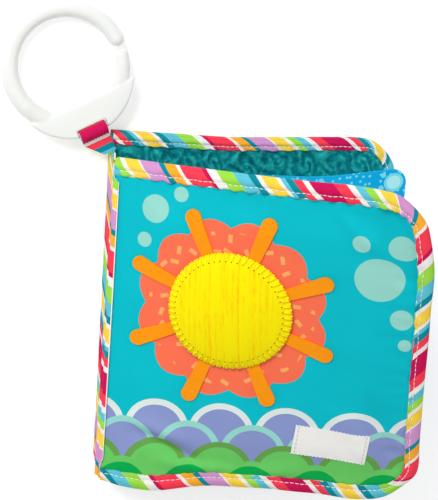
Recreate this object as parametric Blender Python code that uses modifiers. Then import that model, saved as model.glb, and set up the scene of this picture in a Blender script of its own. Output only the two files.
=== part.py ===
"""Crinkle cloth book for a baby, with a link ring on a strap.

The book lies on its back cover, sprung open like a fan. Each cover is a padded leaf of four layers whose edge is
wrapped by a striped binding, and the thinner inner leaf lies between them. A strip of the same stripes joins the
three leaves at the spine, and bends on two lines there. The origin is the centre of the back cover's underside.
+X points from the spine to the fore-edge, +Y to the top of the book and +Z up.
"""

import math
from collections import namedtuple

import bmesh
import bpy
from mathutils import Matrix, Vector

MM = 0.001
DEGREE = math.pi / 180.0

# Driving dimensions of the book
LEAF_WIDTH = 146.0 * MM
LEAF_HEIGHT = 158.0 * MM
CORNER_RADIUS = 16.0 * MM
CLEARANCE = 0.3 * MM

# Cloths, film and fillings
COVER_CLOTH = 0.7 * MM
LINING_CLOTH = 0.6 * MM
PLUSH_PILE = 2.4 * MM
FILM = 0.3 * MM
BINDING_CLOTH = 0.8 * MM
PAGE_CLOTH = 0.6 * MM
FELT = 0.8 * MM
LABEL_CLOTH = 0.4 * MM

# How thick each cover is at its sewn edge and in its padded middle
BACK_EDGE_LIFT = 1.4 * MM
BACK_EDGE_STACK = 5.2 * MM
BACK_MIDDLE_STACK = 8.4 * MM
BACK_NARROWED = 6.5 * MM
BACK_DRAWN_IN = 1.0 * MM
BACK_CORNER_UP = 3.4 * MM
FRONT_EDGE_HALF = 1.7 * MM
FRONT_MIDDLE_OUTER = 3.4 * MM
FRONT_MIDDLE_INNER = 2.4 * MM

# Binding round the edges of a cover, and where the padding starts to swell inside it
BINDING_LIP = 8.0 * MM
BINDING_FOLD = 1.5 * MM
PUFF_START = 11.0 * MM
PUFF_END = 28.0 * MM
FILLING_INSET = 3.2 * MM
SPINE_SEAM = 1.0 * MM

# Spine strip and its two fold lines, given at the bottom and at the top of the book
SPINE_X = (-71.0 * MM, -67.6 * MM)
LEAF_AXIS_Z = 10.0 * MM
COVER_AXIS_Z = (15.8 * MM, 19.5 * MM)
COVER_AXIS_IN = -2.6 * MM
STRIP_LIP = 5.0 * MM
STRIP_EDGE_RADIUS = 0.9 * MM
LEAF_FOLD_GAP = 0.9 * MM
COVER_FOLD_GAP = 0.47 * MM

# Inner leaf as it springs open
LEAF_OPEN = (5.0 * DEGREE, 10.0 * DEGREE)
LEAF_CURL = (3.0 * DEGREE, 6.0 * DEGREE)
LEAF_INSET = 11.3 * MM
LEAF_TOP_INSET = 8.0 * MM
LEAF_TOP_SAG = 7.0 * MM
SAG_SHARES = (0.5, 0.95)
LEAF_CORNER_RADIUS = 18.0 * MM

# Front cover as it springs open: twisted, with its top fore-edge corner highest
COVER_OPEN = (12.6 * DEGREE, 40.9 * DEGREE)
COVER_CURL = (3.4 * DEGREE, -7.1 * DEGREE)
COVER_SPREAD = (0.015, 0.022)
COVER_ROOT_IN = 1.5 * MM
COVER_ROOT_UP = 2.9 * MM
COVER_DOWN = 5.8 * MM

# Padded flower on the front cover
PATCH_RADIUS = 28.0 * MM
PATCH_CROWN = 5.5 * MM
PATCH_DOME_POWER = 0.7
PATCH_U = 0.4 * LEAF_WIDTH
PATCH_Y = 0.087 * LEAF_HEIGHT
PATCH_FILL_INSET = 4.0 * MM
PETAL_COUNT = 8
PETAL_REACH = 50.0 * MM
PETAL_WIDTH = 7.4 * MM
PETAL_FOOT_SHARE = 0.7
PETAL_HUB = 23.0 * MM
PETAL_TURN = 22.5 * DEGREE

# Bare woven label
LABEL_LENGTH = 34.0 * MM
LABEL_WIDTH = 16.0 * MM
LABEL_U = 0.727 * LEAF_WIDTH
LABEL_Y = -0.322 * LEAF_HEIGHT
LABEL_TURN = -6.0 * DEGREE

# Strap, and where its fold line lies outside and below the back cover's top corner at the spine
STRAP_WIDTH = 13.0 * MM
STRAP_CLOTH = 0.9 * MM
STRAP_HEADING = 115.0 * DEGREE
STRAP_OUT = 7.3 * MM
STRAP_DOWN = 0.8 * MM
STRAP_LENGTH = 5.6 * MM
STRAP_RISE = 24.6 * DEGREE
STRAP_END_HALF = 0.8 * MM
STRAP_FOLD_GAP = 0.6 * MM
STRAP_TAIL = 7.5 * MM
STRAP_NARROWED = 7.0 * MM
STRAP_BORE_RADIUS = 2.1 * MM

# Link ring: a C of round section closed by a crescent with a slot for the strap
RING_MID_RADIUS = 25.8 * MM
RING_TUBE_RADIUS = (3.8 * MM, 4.2 * MM)
RING_STUB_RADIUS = (3.1 * MM, 3.7 * MM)
RING_TIP_ANGLE = 4.5 * DEGREE
RING_STUB_ANGLE = -13.0 * DEGREE
RING_TAIL_ANGLE = 228.0 * DEGREE
RING_FLATTEN_ANGLE = 26.0 * DEGREE
RING_END_SHARE = 0.45
STUB_ROOT_ANGLE = -48.0 * DEGREE
CHORD_Y = -17.6 * MM
CHORD_HALF = 16.5 * MM
WING_X = 26.4 * MM
WING_Y = -16.7 * MM
CRESCENT_RADIUS = 29.2 * MM
CRESCENT_THICK = 4.4 * MM
CRESCENT_BEVEL = 0.9 * MM
BAR_Y = -31.9 * MM
BAR_HALF = 1.5 * MM
BAR_THICK = 2.4 * MM
SLOT_WIDTH = 1.8 * MM
SLOT_X = -1.0 * MM
SLOT_SIDE_GAP = 0.7 * MM

# Facets: cloth is cut into cells of about this size before it is bent, and arcs into this many steps
CELL = 14.6 * MM
PATCH_CELL = 7.0 * MM
CORNER_STEPS = 6
FOLD_STEPS = 2
PETAL_STEPS = 5
ROUND_STEPS = 36
TUBE_STEPS = 26
TIP_STEPS = 4
TUBE_SIDES = 14
WELD = 0.01 * MM
OVERRUN = 5.0 * MM

BOTTOM, TOP = -LEAF_HEIGHT / 2, LEAF_HEIGHT / 2
BOOK = "crinkle_cloth_book"
CUTTERS = "cutters"

Material = namedtuple("Material", "colour roughness metallic")
MATERIALS = {
    "printed_cotton": Material((0.0, 0.5, 0.6), 0.85, 0.0),
    "striped_cotton": Material((0.85, 0.1, 0.15), 0.85, 0.0),
    "dotted_cotton": Material((0.0, 0.31, 0.69), 0.85, 0.0),
    "lining_cotton": Material((0.0, 0.45, 0.5), 0.85, 0.0),
    "teal_plush": Material((0.0, 0.3, 0.35), 1.0, 0.0),
    "polyester_wadding": Material((0.9, 0.9, 0.88), 0.95, 0.0),
    "crinkle_film": Material((0.8, 0.82, 0.85), 0.3, 0.0),
    "orange_felt": Material((1.0, 0.3, 0.01), 0.95, 0.0),
    "yellow_corduroy": Material((1.0, 0.75, 0.0), 0.9, 0.0),
    "white_woven_tape": Material((0.86, 0.85, 0.82), 0.7, 0.0),
    "white_plastic": Material((0.86, 0.88, 0.84), 0.25, 0.0),
}


def share_up(y):
    """0 at the bottom of the book and 1 at its top."""
    return (y - BOTTOM) / LEAF_HEIGHT


def mix(pair, share):
    return pair[0] + (pair[1] - pair[0]) * share


def smooth(low, high, value):
    """Rises from 0 at low to 1 at high, level at both ends."""
    t = min(max((value - low) / (high - low), 0.0), 1.0)
    return t * t * (3.0 - 2.0 * t)


def spine_x(y):
    return mix(SPINE_X, share_up(y))


def edge_distance(u, y):
    """How far a point of a leaf lies inside its outline, whose fore-edge corners are round."""
    du = abs(u - LEAF_WIDTH / 2) - LEAF_WIDTH / 2
    dy = abs(y) - LEAF_HEIGHT / 2
    if u < LEAF_WIDTH / 2:
        return -max(du, dy)
    du, dy = du + CORNER_RADIUS, dy + CORNER_RADIUS
    return CORNER_RADIUS - math.hypot(max(du, 0.0), max(dy, 0.0)) - min(max(du, dy), 0.0)


def puff(u, y):
    """0 on a cover's sewn edge and 1 in its padded middle."""
    return smooth(PUFF_START, PUFF_END, edge_distance(u, y))


def dome(u, y):
    """Height of the flower's padded centre over its seam."""
    radius = math.hypot(u - PATCH_U, y - PATCH_Y)
    return PATCH_CROWN * max(1.0 - (radius / PATCH_RADIUS) ** 2, 0.0) ** PATCH_DOME_POWER


# How a leaf that stands off the back cover is rooted and opened, each at the bottom and at the top. It is spread
# outwards by one share at its corners and by another halfway up, so that its fore-edge bulges.
Sheet = namedtuple("Sheet", "root_x root_z open curl shift spread")

LEAF_HALF = FILM / 2 + CLEARANCE + PAGE_CLOTH
INNER_LEAF = Sheet(
    root_x=tuple(x + BINDING_CLOTH / 2 + CLEARANCE for x in SPINE_X),
    root_z=(LEAF_AXIS_Z + LEAF_FOLD_GAP, LEAF_AXIS_Z + LEAF_FOLD_GAP),
    open=LEAF_OPEN,
    curl=LEAF_CURL,
    shift=0.0,
    spread=(0.0, 0.0),
)
FRONT_COVER = Sheet(
    root_x=tuple(x + COVER_AXIS_IN + COVER_ROOT_IN for x in SPINE_X),
    root_z=tuple(z + COVER_ROOT_UP for z in COVER_AXIS_Z),
    open=COVER_OPEN,
    curl=COVER_CURL,
    shift=-COVER_DOWN,
    spread=COVER_SPREAD,
)


def sheet_point(sheet, u, y, w):
    """The place of a point of a bent leaf: u from its root, y along it and w out along its face."""
    share = share_up(y)
    start, curl = mix(sheet.open, share), mix(sheet.curl, share) * u / LEAF_WIDTH
    stretched = u * (1.0 + mix(sheet.spread, 4.0 * share * (1.0 - share)) * u / LEAF_WIDTH)
    middle, reach = start + curl / 2, stretched * (math.sin(curl / 2) / (curl / 2) if curl else 1.0)
    face = start + curl
    return Vector((
        mix(sheet.root_x, share) + reach * math.cos(middle) - w * math.sin(face),
        y + sheet.shift,
        mix(sheet.root_z, share) + reach * math.sin(middle) + w * math.cos(face),
    ))


def cover_point(u, y, w):
    return sheet_point(FRONT_COVER, u, y, w)


def leaf_point(u, y, w):
    """The inner leaf's top edge sags, except at its fore-edge corner."""
    low, high = (share * LEAF_WIDTH for share in SAG_SHARES)
    sag = LEAF_TOP_SAG * share_up(y) * (1.0 - smooth(low, high, u))
    return sheet_point(INNER_LEAF, u, y - sag, w)


def back_point(u, y, w):
    """The back cover lies flat, leans with the spine strip and is drawn in between its corners by its padding.

    Its top corner at the spine, where the strap pulls, is a little higher than the other one.
    """
    root = spine_x(y) + BINDING_CLOTH / 2 + CLEARANCE - SPINE_SEAM
    across, up = u / LEAF_WIDTH, y / TOP
    pulled = BACK_CORNER_UP * max(up, 0.0) ** 2 * (1.0 - across) ** 2
    in_x, in_y = BACK_DRAWN_IN * across * (1.0 - up ** 2), BACK_DRAWN_IN * up * 4.0 * across * (1.0 - across)
    return Vector((root + (LEAF_WIDTH - BACK_NARROWED) * across - in_x, y - in_y + pulled, w))


def arc(centre, radius, start, end, steps):
    """Points round an arc, both ends included."""
    angles = [start + (end - start) * i / steps for i in range(steps + 1)]
    return [(centre[0] + radius * math.cos(a), centre[1] + radius * math.sin(a)) for a in angles]


def leaf_outline(inset, spine_inset, top_inset=0.0, radius=CORNER_RADIUS):
    """A leaf's flat outline, anticlockwise from the bottom of its spine edge."""
    fore, low, high = LEAF_WIDTH - inset, BOTTOM + inset, TOP - inset - top_inset
    r = radius - inset
    return [
        (spine_inset, low),
        *arc((fore - r, low + r), r, -math.pi / 2, 0.0, CORNER_STEPS),
        *arc((fore - r, high - r), r, 0.0, math.pi / 2, CORNER_STEPS),
        (spine_inset, high),
    ]


# The cells that a cloth is cut into: their corner and their size
Grid = namedtuple("Grid", "low_u low_y du dy")


def even_grid(low_u, low_y, width, height, cell):
    return Grid(low_u, low_y, width / round(width / cell), height / round(height / cell))


LEAF_GRID = even_grid(0.0, BOTTOM, LEAF_WIDTH, LEAF_HEIGHT, CELL)
PATCH_GRID = even_grid(
    PATCH_U - PATCH_RADIUS, PATCH_Y - PATCH_RADIUS, 2 * PATCH_RADIUS, 2 * PATCH_RADIUS, PATCH_CELL
)


def on_cells(grid, height):
    """The same height made flat over each half of a cell, so that cloths on each other share their facets."""
    def faceted(u, y):
        i, j = (u - grid.low_u) / grid.du, (y - grid.low_y) / grid.dy
        s, t = i - math.floor(i), j - math.floor(j)
        low_u, low_y = u - s * grid.du, y - t * grid.dy
        low, high = height(low_u, low_y), height(low_u + grid.du, low_y + grid.dy)
        if s > t:
            side = height(low_u + grid.du, low_y)
            return low + s * (side - low) + t * (high - side)
        side = height(low_u, low_y + grid.dy)
        return low + t * (side - low) + s * (high - side)
    return faceted


def between(edge, middle):
    """A height that goes from its value at the sewn edge to its value in the padded middle."""
    return on_cells(LEAF_GRID, lambda u, y: edge + (middle - edge) * puff(u, y))


def level(height):
    return lambda u, y: height


def cut_lines(grid, outline):
    """Lines along both sides and one diagonal of the grid's cells: for each, a point on it and its direction."""
    us, ys = [u for u, y in outline], [y for u, y in outline]
    columns = range(math.floor((min(us) - grid.low_u) / grid.du), math.ceil((max(us) - grid.low_u) / grid.du) + 1)
    rows = range(math.floor((min(ys) - grid.low_y) / grid.dy), math.ceil((max(ys) - grid.low_y) / grid.dy) + 1)
    upright = [((grid.low_u + i * grid.du, grid.low_y), (0.0, grid.dy)) for i in columns]
    flat = [((grid.low_u, grid.low_y + j * grid.dy), (grid.du, 0.0)) for j in rows]
    steps = range(rows[0] - columns[-1], rows[-1] - columns[0] + 1)
    slanting = [((grid.low_u, grid.low_y + k * grid.dy), (grid.du, grid.dy)) for k in steps]
    return upright + flat + slanting


def cloth(name, outline, grid, lower, upper, place, material, parent):
    """A sheet between two heights over a flat outline, cut into the grid's cells and then bent to its place."""
    bm = bmesh.new()
    bm.faces.new([bm.verts.new((u, y, 0.0)) for u, y in outline])
    bm.normal_update()
    for (u, y), (along_u, along_y) in cut_lines(grid, outline):
        everything = bm.verts[:] + bm.edges[:] + bm.faces[:]
        side = Vector((-along_y, along_u, 0.0)).normalized()
        bmesh.ops.bisect_plane(bm, geom=everything, dist=WELD, plane_co=(u, y, 0.0), plane_no=side)
    bm.normal_update()
    bmesh.ops.triangulate(bm, faces=bm.faces[:])
    flat = bm.verts[:]
    raised = bmesh.ops.extrude_face_region(bm, geom=bm.faces[:], use_keep_orig=True)
    lifted = [v for v in raised["geom"] if isinstance(v, bmesh.types.BMVert)]
    for verts, height in ((flat, lower), (lifted, upper)):
        for v in verts:
            v.co = place(v.co.x, v.co.y, height(v.co.x, v.co.y))
    bmesh.ops.recalc_face_normals(bm, faces=bm.faces[:])
    return from_bmesh(name, bm, material, parent)


def swept(name, sections, material, parent):
    """A solid through like sections, each a ring of places, closed by a face at either end."""
    bm = bmesh.new()
    rings = [[bm.verts.new(point) for point in section] for section in sections]
    for ring, after in zip(rings, rings[1:]):
        for i, v in enumerate(ring):
            j = (i + 1) % len(ring)
            bm.faces.new((v, ring[j], after[j], after[i]))
    caps = [bm.faces.new(rings[0]), bm.faces.new(rings[-1])]
    bm.normal_update()
    bmesh.ops.triangulate(bm, faces=caps)
    bmesh.ops.recalc_face_normals(bm, faces=bm.faces[:])
    return from_bmesh(name, bm, material, parent)


def from_bmesh(name, bm, material, parent):
    mesh = bpy.data.meshes.new(name)
    bm.to_mesh(mesh)
    bm.free()
    return new_object(name, mesh, material, parent)


def new_object(name, mesh, material, parent, frame=Matrix()):
    """An object of the book, with its material and its place in the collection."""
    mesh.materials.append(bpy.data.materials[material])
    item = bpy.data.objects.new(name, mesh)
    bpy.data.collections[BOOK].objects.link(item)
    item.parent = parent
    item.matrix_world = frame
    if isinstance(mesh, bpy.types.Mesh):
        mesh.shade_smooth()
        mesh.set_sharp_from_angle(angle=30.0 * DEGREE)
    return item


def levels(bottom, top, layers):
    """Heights of a stack with a clearance between its layers; the layer with no thickness fills what is left."""
    spare = top - bottom - CLEARANCE * (len(layers) - 1) - sum(thick or 0.0 for _, thick in layers)
    heights, at = {}, bottom
    for name, thick in layers:
        thick = spare if thick is None else thick
        heights[name] = (at, at + thick)
        at += thick + CLEARANCE
    return heights


def binding_section(low, high):
    """The folded binding over an edge from low to high: how far in from the outside, and how high."""
    inner_low, inner_high = low - CLEARANCE, high + CLEARANCE
    outer_low, outer_high = inner_low - BINDING_CLOTH, inner_high + BINDING_CLOTH
    fold = BINDING_FOLD
    return [
        (BINDING_LIP, outer_high),
        *arc((fold, outer_high - fold), fold, math.pi / 2, math.pi, FOLD_STEPS),
        *arc((fold, outer_low + fold), fold, math.pi, 1.5 * math.pi, FOLD_STEPS),
        (BINDING_LIP, outer_low),
        (BINDING_LIP, inner_low),
        (BINDING_CLOTH, inner_low),
        (BINDING_CLOTH, inner_high),
        (BINDING_LIP, inner_high),
    ]


def grid_stops(low, high, start, step):
    """Both ends of a stretch and the grid's lines between them."""
    inside = [start + i * step for i in range(math.ceil((low - start) / step), math.ceil((high - start) / step))]
    return [low, *(at for at in inside if at > low + WELD and at < high - WELD), high]


def binding_path():
    """Places and outward directions round a cover's three bound edges, from the spine along the bottom."""
    r, inner_u = CORNER_RADIUS, LEAF_WIDTH - CORNER_RADIUS
    run = grid_stops(SPINE_SEAM, inner_u, LEAF_GRID.low_u, LEAF_GRID.du)
    rise = grid_stops(BOTTOM + r, TOP - r, LEAF_GRID.low_y, LEAF_GRID.dy)
    turns = [math.pi / 2 * i / CORNER_STEPS for i in range(1, CORNER_STEPS)]
    low_corner = [(BOTTOM + r, turn - math.pi / 2) for turn in turns]
    high_corner = [(TOP - r, turn) for turn in turns]

    def rounded(corner):
        return [((inner_u + r * math.cos(a), y + r * math.sin(a)), (math.cos(a), math.sin(a))) for y, a in corner]

    return [
        *(((u, BOTTOM), (0.0, -1.0)) for u in run),
        *rounded(low_corner),
        *(((LEAF_WIDTH, y), (1.0, 0.0)) for y in rise),
        *rounded(high_corner),
        *(((u, TOP), (0.0, 1.0)) for u in reversed(run)),
    ]


def make_binding(name, edge, place, parent):
    """The striped cloth folded over a cover's edges, swept round its outline and bent with it."""
    section = binding_section(*edge)
    sections = [
        [place(u - inward * out_u, y - inward * out_y, w) for inward, w in section]
        for (u, y), (out_u, out_y) in binding_path()
    ]
    swept(name, sections, "striped_cotton", parent)


# A layer of a cover: its thickness, or none where it fills what is left, its material and how far its edge is in
Layer = namedtuple("Layer", "name thick material inset")
CLOTH_INSET = BINDING_CLOTH + CLEARANCE
FILLING = Layer("wadding", None, "polyester_wadding", FILLING_INSET)
CRACKLE = Layer("crinkle_film", FILM, "crinkle_film", FILLING_INSET)
PRINT = Layer("cloth", COVER_CLOTH, "printed_cotton", CLOTH_INSET)
PLUSH = Layer("plush_page", PLUSH_PILE, "teal_plush", CLOTH_INSET)
LINING = Layer("lining", LINING_CLOTH, "lining_cotton", CLOTH_INSET)


def make_cover(prefix, layers, edge, middle, place, parent):
    """The layers of a padded cover from its lower face up, and the binding round them."""
    stack = [(layer.name, layer.thick) for layer in layers]
    at_edge, at_middle = levels(*edge, stack), levels(*middle, stack)
    for layer in layers:
        outline = leaf_outline(layer.inset, max(SPINE_SEAM, layer.inset - CLOTH_INSET))
        lower, upper = (between(e, m) for e, m in zip(at_edge[layer.name], at_middle[layer.name]))
        cloth(f"{prefix}_{layer.name}", outline, LEAF_GRID, lower, upper, place, layer.material, parent)
    make_binding(f"{prefix}_binding", edge, place, parent)


BACK_EDGE = (BACK_EDGE_LIFT, BACK_EDGE_LIFT + BACK_EDGE_STACK)
BACK_MIDDLE = (0.0, BACK_MIDDLE_STACK)
FRONT_EDGE = (-FRONT_EDGE_HALF, FRONT_EDGE_HALF)
FRONT_MIDDLE = (-FRONT_MIDDLE_INNER, FRONT_MIDDLE_OUTER)


def make_inner_leaf(parent):
    """Two cloths sewn back to back, with crackling film between them."""
    stack = [("back_cloth", PAGE_CLOTH), ("crinkle_film", None), ("front_cloth", PAGE_CLOTH)]
    for name, (low, high) in levels(-LEAF_HALF, LEAF_HALF, stack).items():
        filling = name == "crinkle_film"
        inset, spine_inset = (LEAF_INSET + FILLING_INSET, FILLING_INSET) if filling else (LEAF_INSET, 0.0)
        outline = leaf_outline(inset, spine_inset, LEAF_TOP_INSET - LEAF_INSET, LEAF_CORNER_RADIUS)
        material = "crinkle_film" if filling else "dotted_cotton"
        cloth(f"inner_leaf_{name}", outline, LEAF_GRID, level(low), level(high), leaf_point, material, parent)


def thickened(path, half):
    """The outline of a bent strip: its path moved to either side, with mitred corners."""
    sides = []
    for i, (x, z) in enumerate(path):
        before, after = path[max(i - 1, 0)], path[min(i + 1, len(path) - 1)]
        runs = [Vector(b) - Vector(a) for a, b in ((before, (x, z)), ((x, z), after)) if a != b]
        normals = [Vector((-run.y, run.x)).normalized() for run in runs]
        mean = (normals[0] + normals[-1]).normalized()
        sides.append(mean * half / mean.dot(normals[0]))
    left = [(x + side.x, z + side.y) for (x, z), side in zip(path, sides)]
    right = [(x - side.x, z - side.y) for (x, z), side in zip(path, sides)]
    return left + right[::-1]


STRIP_HALF = BINDING_CLOTH / 2
STRIP_TOP = TOP - BINDING_LIP - 2 * CLEARANCE - COVER_DOWN
STRIP_BOTTOM = BOTTOM + BINDING_LIP + 2 * CLEARANCE


def strip_stops(low):
    """Heights up the spine at which the strip has a section, the same as the leaves' cells have."""
    return grid_stops(low, STRIP_TOP, LEAF_GRID.low_y - COVER_DOWN, LEAF_GRID.dy)


def lower_strip_section(y):
    """From the first fold line down the spine and under the back cover."""
    lip_z = BACK_EDGE_LIFT - CLEARANCE - STRIP_HALF
    bend = arc((STRIP_EDGE_RADIUS, lip_z + STRIP_EDGE_RADIUS), STRIP_EDGE_RADIUS, math.pi, 1.5 * math.pi, FOLD_STEPS)
    path = [(0.0, LEAF_AXIS_Z - LEAF_FOLD_GAP), *bend, (STRIP_LIP, lip_z)]
    return [Vector((spine_x(y) + x, y, z)) for x, z in thickened(path, STRIP_HALF)]


def middle_strip_section(y):
    """Between the two fold lines."""
    top = mix(COVER_AXIS_Z, share_up(y)) - COVER_FOLD_GAP
    path = [(0.0, LEAF_AXIS_Z + LEAF_FOLD_GAP), (COVER_AXIS_IN, top)]
    return [Vector((spine_x(y) + x, y, z)) for x, z in thickened(path, STRIP_HALF)]


def upper_strip_section(y):
    """From the second fold line up round the front cover's spine edge and over its face."""
    opening = mix(COVER_OPEN, share_up(y + COVER_DOWN))
    axis = Vector((-COVER_ROOT_IN, -COVER_ROOT_UP))
    axis.rotate(Matrix.Rotation(-opening, 2))
    wall_u = SPINE_SEAM - CLEARANCE - STRIP_HALF
    lip_w = FRONT_EDGE_HALF + CLEARANCE + STRIP_HALF
    centre = (wall_u + STRIP_EDGE_RADIUS, lip_w - STRIP_EDGE_RADIUS)
    bend = arc(centre, STRIP_EDGE_RADIUS, math.pi, math.pi / 2, FOLD_STEPS)
    start = axis + (Vector(bend[0]) - axis).normalized() * COVER_FOLD_GAP
    path = [tuple(start), *bend, (STRIP_LIP, lip_w)]
    return [cover_point(u, y + COVER_DOWN, w) for u, w in thickened(path, STRIP_HALF)]


def make_spine_strip(root, leaf, front):
    """One strip of cloth in three stretches, which bends between them."""
    for name, section, low, parent in (
        ("lower", lower_strip_section, STRIP_BOTTOM, root),
        ("middle", middle_strip_section, STRIP_BOTTOM - COVER_DOWN, leaf),
        ("upper", upper_strip_section, STRIP_BOTTOM - COVER_DOWN, front),
    ):
        swept(f"spine_strip_{name}", [section(y) for y in strip_stops(low)], "striped_cotton", parent)


def petal_outline():
    """A flower of felt cut in one piece, whose petals widen from the hub to round ends."""
    tip_radius = PETAL_WIDTH / 2
    outline = []
    for i in range(PETAL_COUNT):
        out = PETAL_TURN + 2 * math.pi * i / PETAL_COUNT
        along, side = Vector((math.cos(out), math.sin(out))), Vector((-math.sin(out), math.cos(out)))
        foot_half = tip_radius * PETAL_FOOT_SHARE
        foot = [(PETAL_HUB, -foot_half)]
        tip = arc((PETAL_REACH - tip_radius, 0.0), tip_radius, -math.pi / 2, math.pi / 2, PETAL_STEPS)
        local = foot + tip + [(PETAL_HUB, foot_half)]
        outline += [tuple(Vector((PATCH_U, PATCH_Y)) + along * a + side * s) for a, s in local]
    return outline


def make_flower(parent):
    """A felt flower under a padded round centre."""
    face = FRONT_MIDDLE[1]
    on_cloth = between(FRONT_EDGE[1] + CLEARANCE, face + CLEARANCE)
    felt_top = between(FRONT_EDGE[1] + CLEARANCE + FELT, face + CLEARANCE + FELT)
    cloth("flower_felt", petal_outline(), LEAF_GRID, on_cloth, felt_top, cover_point, "orange_felt", parent)
    seat = face + CLEARANCE + FELT + CLEARANCE
    rise = on_cells(PATCH_GRID, dome)

    def above(height):
        return lambda u, y: seat + height + rise(u, y)

    for name, radius, lower, upper, material in (
        ("wadding", PATCH_RADIUS - PATCH_FILL_INSET, level(seat), above(-CLEARANCE), "polyester_wadding"),
        ("cloth", PATCH_RADIUS, above(0.0), above(COVER_CLOTH), "yellow_corduroy"),
    ):
        outline = arc((PATCH_U, PATCH_Y), radius, 0.0, 2 * math.pi, ROUND_STEPS)[:-1]
        cloth(f"flower_patch_{name}", outline, PATCH_GRID, lower, upper, cover_point, material, parent)


def make_label(parent):
    """A bare woven tab sewn on the front cover."""
    turn = Matrix.Rotation(LABEL_TURN, 2)
    corners = [(-1.0, -1.0), (1.0, -1.0), (1.0, 1.0), (-1.0, 1.0)]
    half = [turn @ Vector((a * LABEL_LENGTH / 2, b * LABEL_WIDTH / 2)) for a, b in corners]
    outline = [(LABEL_U + v.x, LABEL_Y + v.y) for v in half]
    lower, upper = (
        between(FRONT_EDGE[1] + lift, FRONT_MIDDLE[1] + lift) for lift in (CLEARANCE, CLEARANCE + LABEL_CLOTH)
    )
    cloth("woven_label", outline, LEAF_GRID, lower, upper, cover_point, "white_woven_tape", parent)


def strap_frame():
    """The strap's fold line: its middle, the way to the ring, the strap's upper side and its width."""
    heading = Vector((math.cos(STRAP_HEADING), math.sin(STRAP_HEADING), 0.0))
    up = Vector((0.0, 0.0, 1.0))
    z = BACK_EDGE[1] + CLEARANCE + BINDING_CLOTH + CLEARANCE + STRAP_END_HALF
    middle = Vector((SPINE_X[1] - STRAP_OUT, TOP - STRAP_DOWN, z))
    return middle, heading, up, heading.cross(up)


def frame_matrix(origin, x, y):
    """The matrix of a frame with this origin and these two directions."""
    return Matrix.Translation(origin) @ Matrix((x, y, x.cross(y))).transposed().to_4x4()


def strap_loop_frame():
    """X from the fold line to the ring's bar, Y up out of the strap and Z across it."""
    middle, heading, up, _ = strap_frame()
    along = heading * math.cos(STRAP_RISE) + up * math.sin(STRAP_RISE)
    over = up * math.cos(STRAP_RISE) - heading * math.sin(STRAP_RISE)
    return frame_matrix(middle, along, over)


def flat_curve(name, outlines, half_thick, material, parent, frame):
    """A plate whose flat outlines lie in its frame's XY plane."""
    curve = bpy.data.curves.new(name, "CURVE")
    curve.dimensions = "2D"
    curve.fill_mode = "BOTH"
    curve.extrude = half_thick
    for outline in outlines:
        spline = curve.splines.new("POLY")
        spline.points.add(len(outline) - 1)
        for point, (x, y) in zip(spline.points, outline):
            point.co = (x, y, 0.0, 1.0)
        spline.use_cyclic_u = True
    return new_object(name, curve, material, parent, frame)


def make_strap_tail(parent):
    """The strap's sewn end, lying on the back cover's corner and drawn in there on its outer side."""
    middle, heading, _, across = strap_frame()
    half, end = STRAP_WIDTH / 2, STRAP_FOLD_GAP + STRAP_TAIL
    outline = [(-half, -STRAP_FOLD_GAP), (STRAP_NARROWED - half, -end), (half, -end), (half, -STRAP_FOLD_GAP)]
    frame = frame_matrix(middle, across, heading)
    flat_curve("strap_tail", [outline], STRAP_END_HALF, "striped_cotton", parent, frame)


def make_strap_loop(parent):
    """The strap folded round the ring's bar: a drop outline with a round bore."""
    outer = STRAP_BORE_RADIUS + STRAP_CLOTH
    tangent = math.acos((outer - STRAP_END_HALF) / STRAP_LENGTH)
    nose = arc((STRAP_LENGTH, 0.0), outer, tangent - math.pi, math.pi - tangent, 2 * CORNER_STEPS)
    drop = [(STRAP_FOLD_GAP, -STRAP_END_HALF), *nose, (STRAP_FOLD_GAP, STRAP_END_HALF)]
    bore = arc((STRAP_LENGTH, 0.0), STRAP_BORE_RADIUS, 0.0, 2 * math.pi, ROUND_STEPS // 2)[:-1]
    flat_curve("strap_loop", [drop, bore], STRAP_WIDTH / 2, "striped_cotton", parent, strap_loop_frame())


def ring_frame():
    """X across the ring, Y from its bar to its far side and Z out of its face; it leans on its far side."""
    _, heading, up, across = strap_frame()
    bar = strap_loop_frame() @ Vector((STRAP_LENGTH, 0.0, 0.0))
    lean = math.asin((bar.z - RING_TUBE_RADIUS[1]) / (RING_MID_RADIUS - BAR_Y))
    along = heading * math.cos(lean) - up * math.sin(lean)
    return frame_matrix(bar - across * SLOT_X - along * BAR_Y, across, along)


def ring_bar(name, start, end, radii, parent, frame):
    """A round bar bent to the ring's radius: its tip at its start is domed, and it flattens towards its end."""
    angles = [start + (end - start) * i / TUBE_STEPS for i in range(TUBE_STEPS + 1)]
    turn = math.copysign(radii[0] / RING_MID_RADIUS, end - start)
    tip = [(start - turn * math.cos(a), math.sin(a)) for a in (math.pi / 2 * i / TIP_STEPS for i in range(1, TIP_STEPS))]
    sections = []
    for a, share in tip + [(a, 1.0) for a in angles]:
        flat = mix((RING_END_SHARE, 1.0), min(abs(end - a) / RING_FLATTEN_ANGLE, 1.0))
        radius = share * mix(radii, max((a - start) / (end - start), 0.0))
        rounds = arc((RING_MID_RADIUS, 0.0), radius, 0.0, 2 * math.pi, TUBE_SIDES)[:-1]
        sections.append([Vector((r * math.cos(a), r * math.sin(a), z * flat)) for r, z in rounds])
    bar = swept(name, sections, "white_plastic", parent)
    bar.matrix_world = frame
    return bar


def crescent_outline():
    """The crescent below the ring's chord, with a wing at either end."""
    drop = WING_Y + math.sqrt(CRESCENT_RADIUS ** 2 - WING_X ** 2)
    wing = math.atan2(WING_Y - drop, WING_X)
    rim = arc((0.0, drop), CRESCENT_RADIUS, -math.pi - wing, wing, ROUND_STEPS // 2)
    return [*rim, (CHORD_HALF, CHORD_Y), (-CHORD_HALF, CHORD_Y)]


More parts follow.
